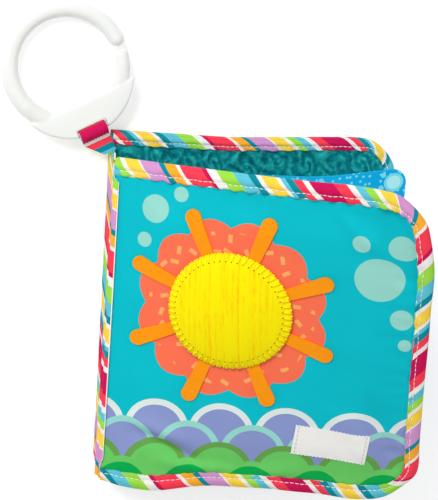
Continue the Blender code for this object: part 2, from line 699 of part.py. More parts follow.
def as_mesh(item):
    """The same object as a closed mesh, with a curve's loose caps joined to its sides."""
    mesh = bpy.data.meshes.new_from_object(item.evaluated_get(bpy.context.evaluated_depsgraph_get()))
    bm = bmesh.new()
    bm.from_mesh(mesh)
    bmesh.ops.remove_doubles(bm, verts=bm.verts[:], dist=WELD)
    bm.to_mesh(mesh)
    bm.free()
    name, frame, parent = item.name, item.matrix_world.copy(), item.parent
    bpy.data.objects.remove(item)
    solid = bpy.data.objects.new(name, mesh)
    bpy.data.collections[BOOK].objects.link(solid)
    solid.parent = parent
    solid.matrix_world = frame
    return solid


def as_cutter(item):
    """An object that only shapes another one."""
    bpy.data.collections[BOOK].objects.unlink(item)
    bpy.data.collections[CUTTERS].objects.link(item)
    item.hide_render = True
    item.display_type = "WIRE"
    return item


def block(name, low, high, parent, frame):
    """A box between two corners of a frame."""
    low, high = Vector(low), Vector(high)
    bm = bmesh.new()
    bmesh.ops.create_cube(
        bm, size=1.0, matrix=Matrix.Translation((low + high) / 2) @ Matrix.Diagonal(high - low).to_4x4()
    )
    item = from_bmesh(name, bm, "white_plastic", parent)
    item.matrix_world = frame
    return item


def boolean(item, cutter, operation):
    step = item.modifiers.new(f"{operation.lower()} {cutter.name}", "BOOLEAN")
    step.operation = operation
    step.object = as_cutter(cutter)


def make_ring(parent):
    """The C of round section, the crescent and the stub in one, with the slot and the thinned bar for the strap."""
    frame = ring_frame()
    arm = ring_bar("link_ring", RING_TIP_ANGLE, RING_TAIL_ANGLE, RING_TUBE_RADIUS, parent, frame)
    stub = ring_bar("ring_stub", RING_STUB_ANGLE, STUB_ROOT_ANGLE, RING_STUB_RADIUS, parent, frame)
    plate = as_mesh(flat_curve(
        "ring_crescent", [crescent_outline()], CRESCENT_THICK / 2, "white_plastic", parent, frame
    ))
    rounding = plate.modifiers.new("round edges", "BEVEL")
    rounding.width = CRESCENT_BEVEL
    rounding.segments = 2
    boolean(arm, plate, "UNION")
    boolean(arm, stub, "UNION")
    half_slot = STRAP_WIDTH / 2 + SLOT_SIDE_GAP
    inner, over = BAR_Y + BAR_HALF + SLOT_WIDTH, CRESCENT_THICK / 2 + OVERRUN
    slot = block(
        "slot_cutter", (SLOT_X - half_slot, BAR_Y + BAR_HALF, -over), (SLOT_X + half_slot, inner, over), parent, frame
    )
    boolean(arm, slot, "DIFFERENCE")
    for side in (-1.0, 1.0):
        near, far = sorted((side * BAR_THICK / 2, side * over))
        recess = block(
            f"bar_cutter_{'lower' if side < 0.0 else 'upper'}",
            (SLOT_X - half_slot, BAR_Y - BAR_HALF - OVERRUN, near), (SLOT_X + half_slot, inner, far), parent, frame,
        )
        boolean(arm, recess, "DIFFERENCE")
    arm.data.shade_smooth()
    arm.data.set_sharp_from_angle(angle=30.0 * DEGREE)


def axis_empty(name, point, direction, parent):
    """An empty on a joint's axis, with its Z along the axis."""
    empty = bpy.data.objects.new(name, None)
    bpy.data.collections[BOOK].objects.link(empty)
    empty.empty_display_size = CORNER_RADIUS
    empty.parent = parent
    empty.matrix_world = Matrix.Translation(point) @ direction.to_track_quat("Z", "Y").to_matrix().to_4x4()
    return empty


def fold_line(name, z_pair, inset, shift, parent):
    """The empty on a fold line of the spine strip, which opens what it carries when it turns forwards."""
    bottom = Vector((SPINE_X[0] + inset, BOTTOM + shift, z_pair[0]))
    top = Vector((SPINE_X[1] + inset, TOP + shift, z_pair[1]))
    return axis_empty(name, (bottom + top) / 2, bottom - top, parent)


def set_scene():
    """An empty scene with the book's two collections and its materials."""
    for item in list(bpy.data.objects):
        bpy.data.objects.remove(item)
    for name in (BOOK, CUTTERS):
        collection = bpy.data.collections.get(name) or bpy.data.collections.new(name)
        if name not in bpy.context.scene.collection.children:
            bpy.context.scene.collection.children.link(collection)
    for name, (colour, roughness, metallic) in MATERIALS.items():
        material = bpy.data.materials.new(name)
        material.use_nodes = True
        shader = material.node_tree.nodes["Principled BSDF"]
        shader.inputs["Base Color"].default_value = (*colour, 1.0)
        shader.inputs["Roughness"].default_value = roughness
        shader.inputs["Metallic"].default_value = metallic


def main():
    set_scene()
    root = axis_empty("book", Vector(), Vector((0.0, 0.0, 1.0)), None)
    leaf = fold_line("leaf_turn", (LEAF_AXIS_Z, LEAF_AXIS_Z), 0.0, 0.0, root)
    front = fold_line("cover_turn", COVER_AXIS_Z, COVER_AXIS_IN, -COVER_DOWN, leaf)
    middle, _, _, across = strap_frame()
    strap = axis_empty("strap_bend", middle, across, root)
    bar = strap_loop_frame() @ Vector((STRAP_LENGTH, 0.0, 0.0))
    swing = axis_empty("ring_swing", bar, across, strap)
    make_cover("back_cover", [PRINT, FILLING, CRACKLE, PLUSH], BACK_EDGE, BACK_MIDDLE, back_point, root)
    make_inner_leaf(leaf)
    make_cover("front_cover", [LINING, CRACKLE, FILLING, PRINT], FRONT_EDGE, FRONT_MIDDLE, cover_point, front)
    make_spine_strip(root, leaf, front)
    make_flower(front)
    make_label(front)
    make_strap_tail(root)
    make_strap_loop(strap)
    make_ring(swing)


main()
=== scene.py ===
"""Looks of the crinkle cloth book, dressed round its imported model.

Every piece of cloth is laid out flat in the part's own measures: u runs from a leaf's spine edge to its
fore-edge, y up the book and w out of its face. It is then bent to its place, where its solid sits.
"""

import math
from collections import namedtuple
from functools import cache

import bmesh
import bpy
import numpy as np
from bpy.props import FloatProperty, FloatVectorProperty, IntProperty, PointerProperty
from bpy.types import Operator, Panel, PropertyGroup
from mathutils import Matrix, Vector
from mathutils.geometry import delaunay_2d_cdt


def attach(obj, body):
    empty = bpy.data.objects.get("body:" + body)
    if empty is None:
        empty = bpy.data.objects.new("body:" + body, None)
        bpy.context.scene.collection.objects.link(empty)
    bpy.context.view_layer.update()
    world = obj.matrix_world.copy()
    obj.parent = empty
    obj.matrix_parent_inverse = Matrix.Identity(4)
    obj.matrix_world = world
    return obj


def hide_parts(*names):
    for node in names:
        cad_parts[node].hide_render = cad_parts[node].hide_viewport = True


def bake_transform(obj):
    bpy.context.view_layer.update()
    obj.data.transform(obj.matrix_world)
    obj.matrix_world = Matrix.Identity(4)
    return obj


bl_info = {
    "name": "Crinkle cloth book",
    "version": (1, 0, 0),
    "blender": (4, 5, 0),
    "location": "3D View > Sidebar > Cloth book",
    "description": "Dresses the packed model of a crinkle cloth book in its cloths, threads and link ring",
    "category": "Object",
}

MM = 0.001
DEGREE = math.pi / 180.0

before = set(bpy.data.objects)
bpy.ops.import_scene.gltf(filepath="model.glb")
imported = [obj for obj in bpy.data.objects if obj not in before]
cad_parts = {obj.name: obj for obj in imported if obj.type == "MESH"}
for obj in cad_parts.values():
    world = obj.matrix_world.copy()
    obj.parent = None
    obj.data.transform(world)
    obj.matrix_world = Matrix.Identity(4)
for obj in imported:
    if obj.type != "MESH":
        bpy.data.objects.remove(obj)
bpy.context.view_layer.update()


def mm(*rows):
    """Rows of millimetres as metres."""
    return tuple(tuple(value * MM for value in row) for row in rows)


# Sizes of the part that the pieces are laid out by. A pair runs from bottom to top, or from low to high.
LEAF_WIDTH = 146.0 * MM
LEAF_HEIGHT = 158.0 * MM
BOTTOM, TOP = -LEAF_HEIGHT / 2, LEAF_HEIGHT / 2
CORNER_RADIUS = 16.0 * MM
CLEARANCE = 0.3 * MM
CLOTH_INSET = 1.3 * MM
BINDING_CLOTH = 0.8 * MM
BINDING_LIP = 8.0 * MM
# How far inside its edge a cover starts to swell, and where it is full
PUFF = (11.0 * MM, 28.0 * MM)
SPINE_SEAM = 1.0 * MM
BACK_NARROWED = 6.5 * MM
BACK_DRAWN_IN = 1.0 * MM
BACK_CORNER_UP = 3.4 * MM
BACK_EDGE = (1.4 * MM, 6.6 * MM)
BACK_MIDDLE = 8.4 * MM
FRONT_EDGE = (-1.7 * MM, 1.7 * MM)
FRONT_MIDDLE = (-2.4 * MM, 3.4 * MM)
FRONT_THINNEST = 1.3 * MM
SPINE_X = (-71.0 * MM, -67.6 * MM)
# The heights at which the inner leaf and the front cover turn, and where the cover starts from there
LEAF_AXIS_Z = 10.0 * MM
COVER_AXIS_Z = (15.8 * MM, 19.5 * MM)
COVER_AXIS_IN = -2.6 * MM
COVER_ROOT = (1.5 * MM, 2.9 * MM)
COVER_DOWN = 5.8 * MM
# The inner leaf
LEAF_HALF = 1.05 * MM
FILM_HALF = 0.15 * MM
LEAF_INSET = 11.3 * MM
LEAF_TOP_INSET = 8.0 * MM
LEAF_TOP_SAG = 7.0 * MM
LEAF_CORNER_RADIUS = 18.0 * MM
# The padded centre, and the petals of the felt flower under it
PATCH_CENTRE = (0.4 * LEAF_WIDTH, 0.087 * LEAF_HEIGHT)
PATCH_RADIUS = 28.0 * MM
PATCH_CROWN = 5.5 * MM
PATCH_DOME_POWER = 0.7
FELT = 0.8 * MM
PATCH_SEAT = FRONT_MIDDLE[1] + CLEARANCE + FELT + CLEARANCE
PETAL_COUNT = 8
PETAL_REACH = 50.0 * MM
PETAL_RADIUS = 3.7 * MM
PETAL_FOOT_SHARE = 0.7
PETAL_HUB = 23.0 * MM
PETAL_TURN = 22.5 * DEGREE
# The label
LABEL_CENTRE = (0.727 * LEAF_WIDTH, -0.322 * LEAF_HEIGHT)
LABEL_SIZE = (34.0 * MM, 16.0 * MM)
LABEL_TURN = -6.0 * DEGREE
LABEL_CLOTH = 0.4 * MM
# The strap, from its fold line back into the seam and out round the ring's bar
STRAP_FOLD = Vector((-74.9, 78.2, 8.8)) * MM
STRAP_HEADING = 115.0 * DEGREE
STRAP_RISE = 24.6 * DEGREE
STRAP_WIDTH = 13.0 * MM
STRAP_CLOTH = 0.9 * MM
STRAP_HALF_GAP = 0.42 * MM
STRAP_SEWN = (0.6 * MM, 1.8 * MM)
STRAP_LENGTH = 5.6 * MM
STRAP_TAIL = 7.5 * MM
STRAP_NARROWED = 7.0 * MM
STRAP_BORE_RADIUS = 2.1 * MM
# The link ring: its arm and stub, and the crescent with the bar and the slot for the strap
RING_MID_RADIUS = 25.8 * MM
RING_TUBE_RADIUS = (3.8 * MM, 4.2 * MM)
RING_STUB_RADIUS = (3.1 * MM, 3.7 * MM)
RING_ARM = (4.5 * DEGREE, 228.0 * DEGREE)
RING_STUB = (-13.0 * DEGREE, -48.0 * DEGREE)
RING_END_SHARE = 0.45
RING_FLATTEN = 26.0 * DEGREE
CHORD = (16.5 * MM, -17.6 * MM)
WING = (26.4 * MM, -16.7 * MM)
CRESCENT_RADIUS = 29.2 * MM
CRESCENT_THICK = 4.4 * MM
CRESCENT_BEVEL = 1.1 * MM
CRESCENT_CROWN = 0.25 * MM
CRESCENT_DROP = WING[1] + math.sqrt(CRESCENT_RADIUS ** 2 - WING[0] ** 2)
BAR_Y = -31.9 * MM
BAR_HALF = 1.5 * MM
BAR_THICK = 2.4 * MM
SLOT_WIDTH = 1.8 * MM
SLOT_X = -1.0 * MM
SLOT_HALF = 7.2 * MM

# How a leaf is rooted and opened, at the bottom and top, and spread outwards, at its corners and between
Sheet = namedtuple("Sheet", "root_x root_z open curl shift spread")
INNER_LEAF = Sheet(
    root_x=tuple(x + BINDING_CLOTH / 2 + CLEARANCE for x in SPINE_X),
    root_z=(10.9 * MM, 10.9 * MM),
    open=(5.0 * DEGREE, 10.0 * DEGREE),
    curl=(3.0 * DEGREE, 6.0 * DEGREE),
    shift=0.0,
    spread=(0.0, 0.0),
)
FRONT_COVER = Sheet(
    root_x=tuple(x + COVER_AXIS_IN + COVER_ROOT[0] for x in SPINE_X),
    root_z=tuple(z + COVER_ROOT[1] for z in COVER_AXIS_Z),
    open=(12.6 * DEGREE, 40.9 * DEGREE),
    curl=(3.4 * DEGREE, -7.1 * DEGREE),
    shift=-COVER_DOWN,
    spread=(0.015, 0.022),
)

# Where a cover is drawn out of its plain outline: at u and y, how far it reaches, and the move in u, y and w
COVER_TUGS = mm(
    (0, -79, 8, 0, 2.8, 0), (26, -79, 12, 0, -1.9, 0), (55, -79, 15, 0, 1.8, 0), (78, -79, 12, 0, 1.2, 0),
    (121, -79, 13, 0, -2.6, 0), (146, -78, 9, -1.4, 1.8, 0), (146, -61, 9, 1, 0, 0),
    (146, -18, 26, -0.9, 0, 0), (146, 42, 14, 1.4, 0, 0), (144, 75, 13, -2.2, -2.8, -2),
    (112, 79, 12, 0, 0.8, 0.8),
)
BACK_TUGS = mm((146, 79, 14, -1.2, -3.2, 0), (60, 79, 18, 0, -0.6, 0))

# The front cover's soft folds: from u, y to u, y, with the width and height of each
COVER_CREASES = mm(
    (14, -44, 42, -54, 3.6, 1.6), (18, -50, 48, -66, 3.2, -2.4), (26, -64, 64, -70, 3.2, 1.5),
    (104, 68, 127, 48, 4, 1.3), (129, 71, 139, 34, 4.4, -4.2), (72, -71, 96, -64, 4.5, 1.1),
    (10, 8, 26, 34, 6, 0.5), (122, -26, 136, -64, 5, -1.6), (112, -36, 126, -62, 5, 1.2),
)

# Spacing of the points that each cloth, and the ring's crescent, is drawn with
LINING_CELL, PLUSH_CELL, LEAF_CELL = 2.5 * MM, 1.1 * MM, 2.2 * MM
FELT_CELL, PATCH_CELL, LABEL_CELL, RING_CELL = 1.4 * MM, 0.62 * MM, 1.0 * MM, 0.5 * MM
# Faces that meet at more than this keep a sharp edge
SHARP_EDGE = 50.0 * DEGREE
# How far the gathers of a sewn edge reach into the cloth
GATHER_REACH = 6.0 * MM
# How far a cloth that is laid on another one clears it
LAID = 0.1 * MM

# The striped tape, clockwise round the front cover: each stripe's colour and its share of the repeat
STRIPES = (
    ("lilac", 19), ("dark_teal", 6), ("orange", 12), ("cream", 4), ("coral", 22), ("magenta", 5),
    ("cream", 10), ("lime", 17), ("light_blue", 14), ("dark_teal", 8), ("cream", 5), ("mustard", 15),
    ("cream", 4), ("light_blue", 5), ("dark_teal", 7), ("coral", 9), ("cream", 6), ("magenta", 24),
    ("coral", 12), ("cream", 7), ("light_blue", 9), ("lime", 9), ("cream", 5), ("mustard", 15), ("cream", 2),
)
# Where on the tape each piece starts, and how far the tape moves on for the strap's length and strip's width
FRONT_TAPE = -13.0 * MM
BACK_TAPE = 77.3 * MM
STRAP_TAPE = 92.2 * MM
STRAP_TAPE_SHARE = 1.4
STRIP_TAPE = -19.0 * MM
STRIP_LEAN_SHARE = 0.5
# How much narrower a binding looks at the fore-edge, and at the top and bottom
FRONT_NARROWED = (0.2, 0.0)
BACK_NARROWED_SHARES = (0.2, 0.27)
# From one section of a binding to the next, and how far the middle of its stitches stands out
BINDING_STEP = 1.5 * MM
STITCH_BOW = 0.22 * MM
# Half the thickness of the threads that aren't the bindings'
EDGING_THREAD, WHIP_THREAD = 0.32 * MM, 0.4 * MM
LABEL_THREAD, STRAP_THREAD = 0.2 * MM, 0.24 * MM

# The spine strip: its two ends on each cover, its flaps under and over them, and how it bulges between
STRIP_HALF = BINDING_CLOTH / 2
STRIP_BACK_ENDS = (BOTTOM + 5.0 * MM, TOP - 2.2 * MM)
STRIP_FRONT_ENDS = (BOTTOM + 4.4 * MM, TOP - 1.4 * MM)
STRIP_UNDER = 5.0 * MM
STRIP_OVER = (1.4 * MM, 3.2 * MM)
STRIP_LEAST = 0.3 * MM
STRIP_BULGE = (-2.3 * MM, -0.9 * MM)
STRIP_TURN = 0.9 * MM
# The strip is drawn through this many sections, each of so many points, whose bends are eased so many times
STRIP_SECTIONS, STRIP_POINTS, STRIP_EASING = 260, 40, 14

# The print: bubbles as u, y and radius, and rows of scallops as centre, shift, colour and rim
BUBBLES = mm(
    (124, 36, 10.5), (134, 52, 6), (134, 17, 5), (117, 53, 4), (22, 58, 6.5), (34, 66, 3.5), (17, 43, 3.5),
    (136, 4, 3),
)
SCALLOP_RADIUS = 15.0 * MM
SCALLOP_FILL = 0.8
SCALLOPS = (
    (-48.0 * MM, 4.0 * MM, "scallop_lilac", "scallop_rim"),
    (-58.0 * MM, 19.0 * MM, "scallop_lilac", "bubble"),
    (-68.0 * MM, 4.0 * MM, "scallop_light", "scallop_olive"),
    (-78.0 * MM, 19.0 * MM, "scallop_green", "scallop_light"),
)
LOBE_RISE = 4.5 * MM
CONFETTI_SPACING = 8.0 * MM
CONFETTI = (1.9 * MM, 0.95 * MM)
# The inner leaf's dots as spacing and share of it, and its large spots as u, y and radius
PAGE_DOTS = ((3.1 * MM, 0.2), (8.5 * MM, 0.13))
PAGE_SPOTS = mm((129, 65, 4.4), (96, 28, 6), (52, -20, 5.6), (112, -34, 6.4), (30, 34, 5))
PAGE_SPOT_FILL = 0.72

# Whip stitches round the centre, from needle hole out over the edge: distance from the centre, and height.
# They nip the centre's outline by a share of its radius. Its first broad rib starts off its middle.
WHIP_COUNT = 58
WHIP_LEAN = 0.2
WHIP_PROFILE = tuple(
    (PATCH_RADIUS + out, height)
    for out, height in mm((-3.3, -0.25), (-2.6, 0.05), (-1.4, 0.1), (-0.5, 0.15), (0.05, 0.5), (0.2, 0.1))
)
HOLE_RADIUS = PATCH_RADIUS - 3.4 * MM
NEEDLE_HOLE = 0.36 * MM
WHIP_NIP = 0.014
WALE_START = 1.5 * MM

# The strap's zigzag stitches: their rows, number and width, and how far in from the strap's fold and edges
ZIGZAG_ROWS = (0.0, 0.7 * MM)
ZIGZAG_COUNT = 16
ZIGZAG_WIDTH = 1.0 * MM
ZIGZAG_IN = (0.5 * MM, 0.6 * MM)

# The ring is moulded in one by cells of this size, then faired by this share this many times
RING_VOXEL = 0.36 * MM
RING_FAIRING = (0.5, 8)

# The photograph's view: the camera's back and right, how far it stands, its lens and where it sees the origin
VIEW_BACK = Vector((-0.259, 0.25, 0.933))
VIEW_RIGHT = Vector((0.966, 0.044, 0.256))
VIEW_DISTANCE = 1.0
LENS = 150.48
PHOTO = (438.0, 500.0)
ORIGIN_PIXEL = (243.0, 297.5)
# Each light's name, place, width in metres and power in watts
LIGHTS = (("key light", (-0.7, 0.8, 0.95), 0.5, 12.0), ("fill light", (0.8, -0.3, 1.0), 1.2, 2.6))
WORLD_LIGHT = 0.47
FLOOR_GLOW = 0.42
FLOOR_HALF = 3.0
FLOOR_Z = -0.1 * MM

COLOURS = (
    ("ground", "#00C0CE", "Ground of the front cover's print"),
    ("confetti", "#FFB066", "Small dashes in the printed flower"),
    ("flower", "#FF7452", "Scalloped printed flower behind the padded centre"),
    ("bubble", "#98DCD0", "Pale printed bubbles"),
    ("scallop_rim", "#E2EEEA", "Pale rim of the highest printed scallops"),
    ("scallop_lilac", "#8C9AD0", "Upper rows of printed scallops"),
    ("scallop_light", "#6CD066", "Middle row of printed scallops"),
    ("scallop_green", "#00AF50", "Lowest row of printed scallops"),
    ("scallop_olive", "#6AA650", "Rims of the green scallops"),
    ("felt", "#FF9A12", "Felt flower under the padded centre"),
    ("centre", "#FFEE00", "Ribbed pile of the padded centre"),
    # Painted shade: the centre's pile is darkened towards this in its ribs' valleys, and also in its random
    # streaks
    ("centre_deep", "#FFCC00", "Where the centre's pile parts"),
    # Painted shade in the needle holes round the padded centre, which have no depth of their own
    ("needle_hole_shade", "#8A6A14", "Prick of the needle in the padded centre"),
    ("lilac", "#D898D0", "Stripe of the tape"),
    ("dark_teal", "#0090A0", "Stripe of the tape"),
    ("orange", "#FFB030", "Stripe of the tape"),
    ("cream", "#F6F2EE", "Stripe of the tape"),
    ("coral", "#FF4056", "Stripe of the tape"),
    ("magenta", "#D01058", "Stripe of the tape"),
    ("lime", "#A0E048", "Stripe of the tape"),
    ("light_blue", "#60C8DC", "Stripe of the tape"),
    ("mustard", "#FFD848", "Stripe of the tape"),
    ("plush", "#00888E", "Back cover's embossed page"),
    # Painted shade and painted highlight of the plush's swirls, mixed with its random nap tone: darker in
    # their furrows, paler on their ridges
    ("plush_pressed", "#00626C", "Where the plush is pressed down"),
    ("plush_pale", "#2CC0B8", "Where the plush leans to the light"),
    ("page", "#00A0E2", "Ground of the inner leaf"),
    ("page_light", "#10BCEC", "Where the inner leaf's ground pales"),
    ("page_dot", "#7CE0F2", "Dots on the inner leaf"),
    ("page_spot", "#B4F0F4", "Middles of the large spots on the inner leaf"),
    ("lining", "#20B4C4", "Inside of the front cover"),
    ("thread", "#FAF8F4", "Stitches on the bindings and strap"),
    ("label", "#FCFBF8", "Bare woven label"),
    ("label_thread", "#D2D0C8", "Stitches on the label"),
    ("ring", "#F2F4F0", "Moulded plastic of the link ring"),
    ("floor", "#F4F4F4", "Paper that the book lies on"),
)


def linear(hex_colour):
    """An sRGB hex colour as linear red, green, blue and alpha."""
    channels = [int(hex_colour[i:i + 2], 16) / 255.0 for i in (1, 3, 5)]
    return (*(c / 12.92 if c <= 0.04045 else ((c + 0.055) / 1.055) ** 2.4 for c in channels), 1.0)


def length_property(name, description, default):
    return FloatProperty(
        name=name, description=description, default=default, min=0.0, unit="LENGTH", precision=5
    )


class BookColours(PropertyGroup):
    """Colours of the book's cloths, threads and ring."""
    __annotations__ = {
        key: FloatVectorProperty(
            name=key.replace("_", " ").capitalize(), description=description, default=linear(hex_colour),
            subtype="COLOR", size=4, min=0.0, max=1.0,
        )
        for key, hex_colour, description in COLOURS
    }


class BookSizes(PropertyGroup):
    """Sizes of the details that the cloth pieces carry."""
    cell: length_property("Cloth cell", "Spacing of the points that the front cover is drawn with", 1.6 * MM)
    stripe_repeat: length_property("Stripe repeat", "Length of tape in which its stripes repeat", 120.0 * MM)
    stripe_lean: FloatProperty(
        name="Stripe lean", description="How far a stripe runs along for its way across", default=0.82
    )
    stitch: length_property("Stitch", "Length of a stitch and the gap after it", 2.4 * MM)
    stitch_gap: length_property("Stitch gap", "Gap between two stitches", 0.6 * MM)
    thread_radius: length_property("Thread radius", "Half the thickness of the sewing thread", 0.18 * MM)
    stitch_inset: length_property("Stitch inset", "From the binding's inner edge to its stitches", 2.5 * MM)
    pucker: length_property("Pucker", "Depth of the gathers along a sewn edge", 0.5 * MM)
    pucker_length: length_property("Pucker length", "From one gather to the next", 7.5 * MM)
    wale: length_property("Wale", "Width of the broad ribs of the padded centre", 6.6 * MM)
    rib: length_property("Rib", "Width of the fine ribs of the padded centre", 2.5 * MM)
    emboss: length_property("Emboss", "Width of the swirls pressed into the plush", 13.0 * MM)
    weave: length_property("Weave", "Spacing of the threads, coarse enough to show", 0.7 * MM)
    lobes: IntProperty(name="Lobes", description="Scallops round the printed flower", default=12, min=3)
    flower_radius: length_property("Flower radius", "Middle radius of the printed flower", 42.0 * MM)


def sizes():
    return bpy.context.scene.cloth_book_sizes


def colours():
    return bpy.context.scene.cloth_book_colours


# Flat layout and how it is bent

def share_up(y):
    """0 at the bottom of the book and 1 at its top."""
    return (y - BOTTOM) / LEAF_HEIGHT


def mix(pair, share):
    return pair[0] + (pair[1] - pair[0]) * share


def smooth(low, high, value):
    """Rises from 0 at low to 1 at high, level at both ends."""
    t = np.clip((value - low) / (high - low), 0.0, 1.0)
    return t * t * (3.0 - 2.0 * t)


def edge_distance(u, y):
    """How far a point of a leaf lies inside its outline, whose fore-edge corners are round."""
    du, dy = np.abs(u - LEAF_WIDTH / 2) - LEAF_WIDTH / 2, np.abs(y) - LEAF_HEIGHT / 2
    ru, ry = du + CORNER_RADIUS, dy + CORNER_RADIUS
    outside = np.hypot(np.maximum(ru, 0.0), np.maximum(ry, 0.0)) + np.minimum(np.maximum(ru, ry), 0.0)
    return np.where(u < LEAF_WIDTH / 2, -np.maximum(du, dy), CORNER_RADIUS - outside)


def sheet_place(sheet, u, y, w):
    """Where the points of a bent leaf lie."""
    share = share_up(y)
    start, curl = mix(sheet.open, share), mix(sheet.curl, share) * u / LEAF_WIDTH
    stretched = u * (1.0 + mix(sheet.spread, 4.0 * share * (1.0 - share)) * u / LEAF_WIDTH)
    middle, reach, face = start + curl / 2, stretched * np.sinc(curl / (2 * math.pi)), start + curl
    x = mix(sheet.root_x, share) + reach * np.cos(middle) - w * np.sin(face)
    z = mix(sheet.root_z, share) + reach * np.sin(middle) + w * np.cos(face)
    return np.stack([x, y + sheet.shift + 0.0 * x, z], axis=-1)


def tugged(u, y, w, tugs):
    """The same places, moved where sewing has drawn the cloth out of its plain outline."""
    moved_u, moved_y, moved_w = u, y, w
    for at_u, at_y, reach, du, dy, dw in tugs:
        near = np.exp(-((u - at_u) ** 2 + (y - at_y) ** 2) / reach ** 2)
        moved_u, moved_y, moved_w = moved_u + du * near, moved_y + dy * near, moved_w + dw * near
    return moved_u, moved_y, moved_w


def cover_place(u, y, w):
    return sheet_place(FRONT_COVER, *tugged(u, y, w, COVER_TUGS))


def leaf_place(u, y, w):
    """The inner leaf's top edge sags, except at its fore-edge corner."""
    sag = LEAF_TOP_SAG * share_up(y) * (1.0 - smooth(0.6 * LEAF_WIDTH, LEAF_WIDTH, u))
    return sheet_place(INNER_LEAF, u, y - sag, w)


def back_place(u, y, w):
    """The back cover lies flat, leans with the spine and is drawn in between its corners."""
    u, y, w = tugged(u, y, w, BACK_TUGS)
    root = mix(SPINE_X, share_up(y)) + BINDING_CLOTH / 2 + CLEARANCE - SPINE_SEAM
    across, up = u / LEAF_WIDTH, y / TOP
    in_x, in_y = BACK_DRAWN_IN * across * (1.0 - up ** 2), BACK_DRAWN_IN * up * 4.0 * across * (1.0 - across)
    pulled = BACK_CORNER_UP * np.maximum(up, 0.0) ** 2 * (1.0 - across) ** 2
    x = root + (LEAF_WIDTH - BACK_NARROWED) * across - in_x
    return np.stack([x, y - in_y + pulled, w + 0.0 * x], axis=-1)


def unevenness(u, y, size, seed):
    """A gentle unevenness from about -1 to 1, whose swells are about this size."""
    total = 0.0
    for turn, phase, stretch in np.random.default_rng(seed).uniform(0.0, 1.0, (7, 3)):
        wave = 2 * math.pi / (size * (0.7 + 0.8 * stretch))
        across = u * math.cos(2 * math.pi * turn) + y * math.sin(2 * math.pi * turn)
        total = total + np.sin(wave * across + 2 * math.pi * phase)
    return total / 3.5


def creases(u, y):
    """Height of the front cover's soft folds."""
    total = 0.0 * u
    for low_u, low_y, high_u, high_y, width, height in COVER_CREASES:
        run_u, run_y = high_u - low_u, high_y - low_y
        along = ((u - low_u) * run_u + (y - low_y) * run_y) / (run_u ** 2 + run_y ** 2)
        aside = ((u - low_u) * run_y - (y - low_y) * run_u) / math.hypot(run_u, run_y)
        ends = smooth(-0.2, 0.3, along) * smooth(1.2, 0.7, along)
        total = total + height * np.exp(-(aside / width) ** 2) * ends
    return total


def gathers(u, y, seed):
    """The pull of a sewn edge on the cloth just inside it, square to the edge."""
    s = sizes()
    inside = np.maximum(edge_distance(u, y) - BINDING_LIP, 0.0)
    to_fore, to_side = LEAF_WIDTH - u, LEAF_HEIGHT / 2 - np.abs(y)
    run = np.where(to_fore < to_side, y, u)
    phase = 2 * math.pi * run / s.pucker_length + 1.6 * unevenness(run, 0.0, 34.0 * MM, seed)
    strength = 0.7 + 0.5 * unevenness(run, 0.0, 25.0 * MM, seed + 1)
    even = smooth(0.0, GATHER_REACH, np.abs(to_fore - to_side)) * strength
    return s.pucker * even * np.exp(-inside / GATHER_REACH) * np.sin(phase)


def padded_face(edge, middle, u, y, rough, lead=1.0 * MM, tail=2.0 * MM):
    """Height of a cover's face: level under the binding, then full, with its own roughness."""
    inside = edge_distance(u, y)
    beyond_binding = smooth(BINDING_LIP - lead, BINDING_LIP + tail, inside)
    return edge + (middle - edge) * smooth(*PUFF, inside) + beyond_binding * rough


def from_centre(u, y):
    return np.hypot(u - PATCH_CENTRE[0], y - PATCH_CENTRE[1])


def cover_face(u, y):
    """Height of the front cover's printed face, which the flower keeps smooth round itself."""
    open_cloth = smooth(PATCH_RADIUS, PATCH_RADIUS + 30.0 * MM, from_centre(u, y)) * 0.75 + 0.25
    folds = creases(u, y) * open_cloth
    rough = (0.3 * MM * unevenness(u, y, 26.0 * MM, seed=3) + gathers(u, y, seed=5)) * open_cloth
    rough = np.maximum(folds, 0.0) + rough
    face = padded_face(FRONT_EDGE[1], FRONT_MIDDLE[1], u, y, rough) + np.minimum(folds, 0.0)
    return np.maximum(face, FRONT_EDGE[0] + FRONT_THINNEST)


def lining_face(u, y):
    """Height of the front cover's inside."""
    rough = 0.35 * MM * unevenness(u, y, 24.0 * MM, seed=8) + gathers(u, y, seed=9)
    return padded_face(FRONT_EDGE[0], FRONT_MIDDLE[0], u, y, rough)


def plush_pattern(u, y):
    """Swirls pressed into the plush: 1 on their ridges and 0 in their furrows."""
    s = sizes()
    spacing = 1.15 * s.emboss
    row = np.floor(y / spacing)
    shifted = u + 0.5 * spacing * (row % 2)
    drift_u, drift_y = (2.6 * MM * unevenness(u, y, 17.0 * MM, seed) for seed in (36, 37))
    local_u = shifted - (np.floor(shifted / spacing) + 0.5) * spacing + drift_u
    local_y = y - (row + 0.5) * spacing + drift_y
    radius = np.hypot(local_u, local_y)
    swirl = np.cos(2 * math.pi * radius / (0.34 * s.emboss) + 2.0 * np.arctan2(local_y, local_u))
    return 0.5 + 0.5 * np.sign(swirl) * np.abs(swirl) ** 0.7 * smooth(0.75 * s.emboss, 0.5 * s.emboss, radius)


def plush_face(u, y):
    """Height of the plush page: swirls pressed into the pile, and gathers along its sewn edge."""
    rough = 0.3 * MM * unevenness(u, y, 9.0 * MM, seed=31) + 1.6 * gathers(u, y, seed=33)
    swirls = 0.9 * MM * (plush_pattern(u, y) - 0.5)
    return padded_face(BACK_EDGE[1], BACK_MIDDLE, u, y, swirls + rough, 1.5 * MM, 1.5 * MM)


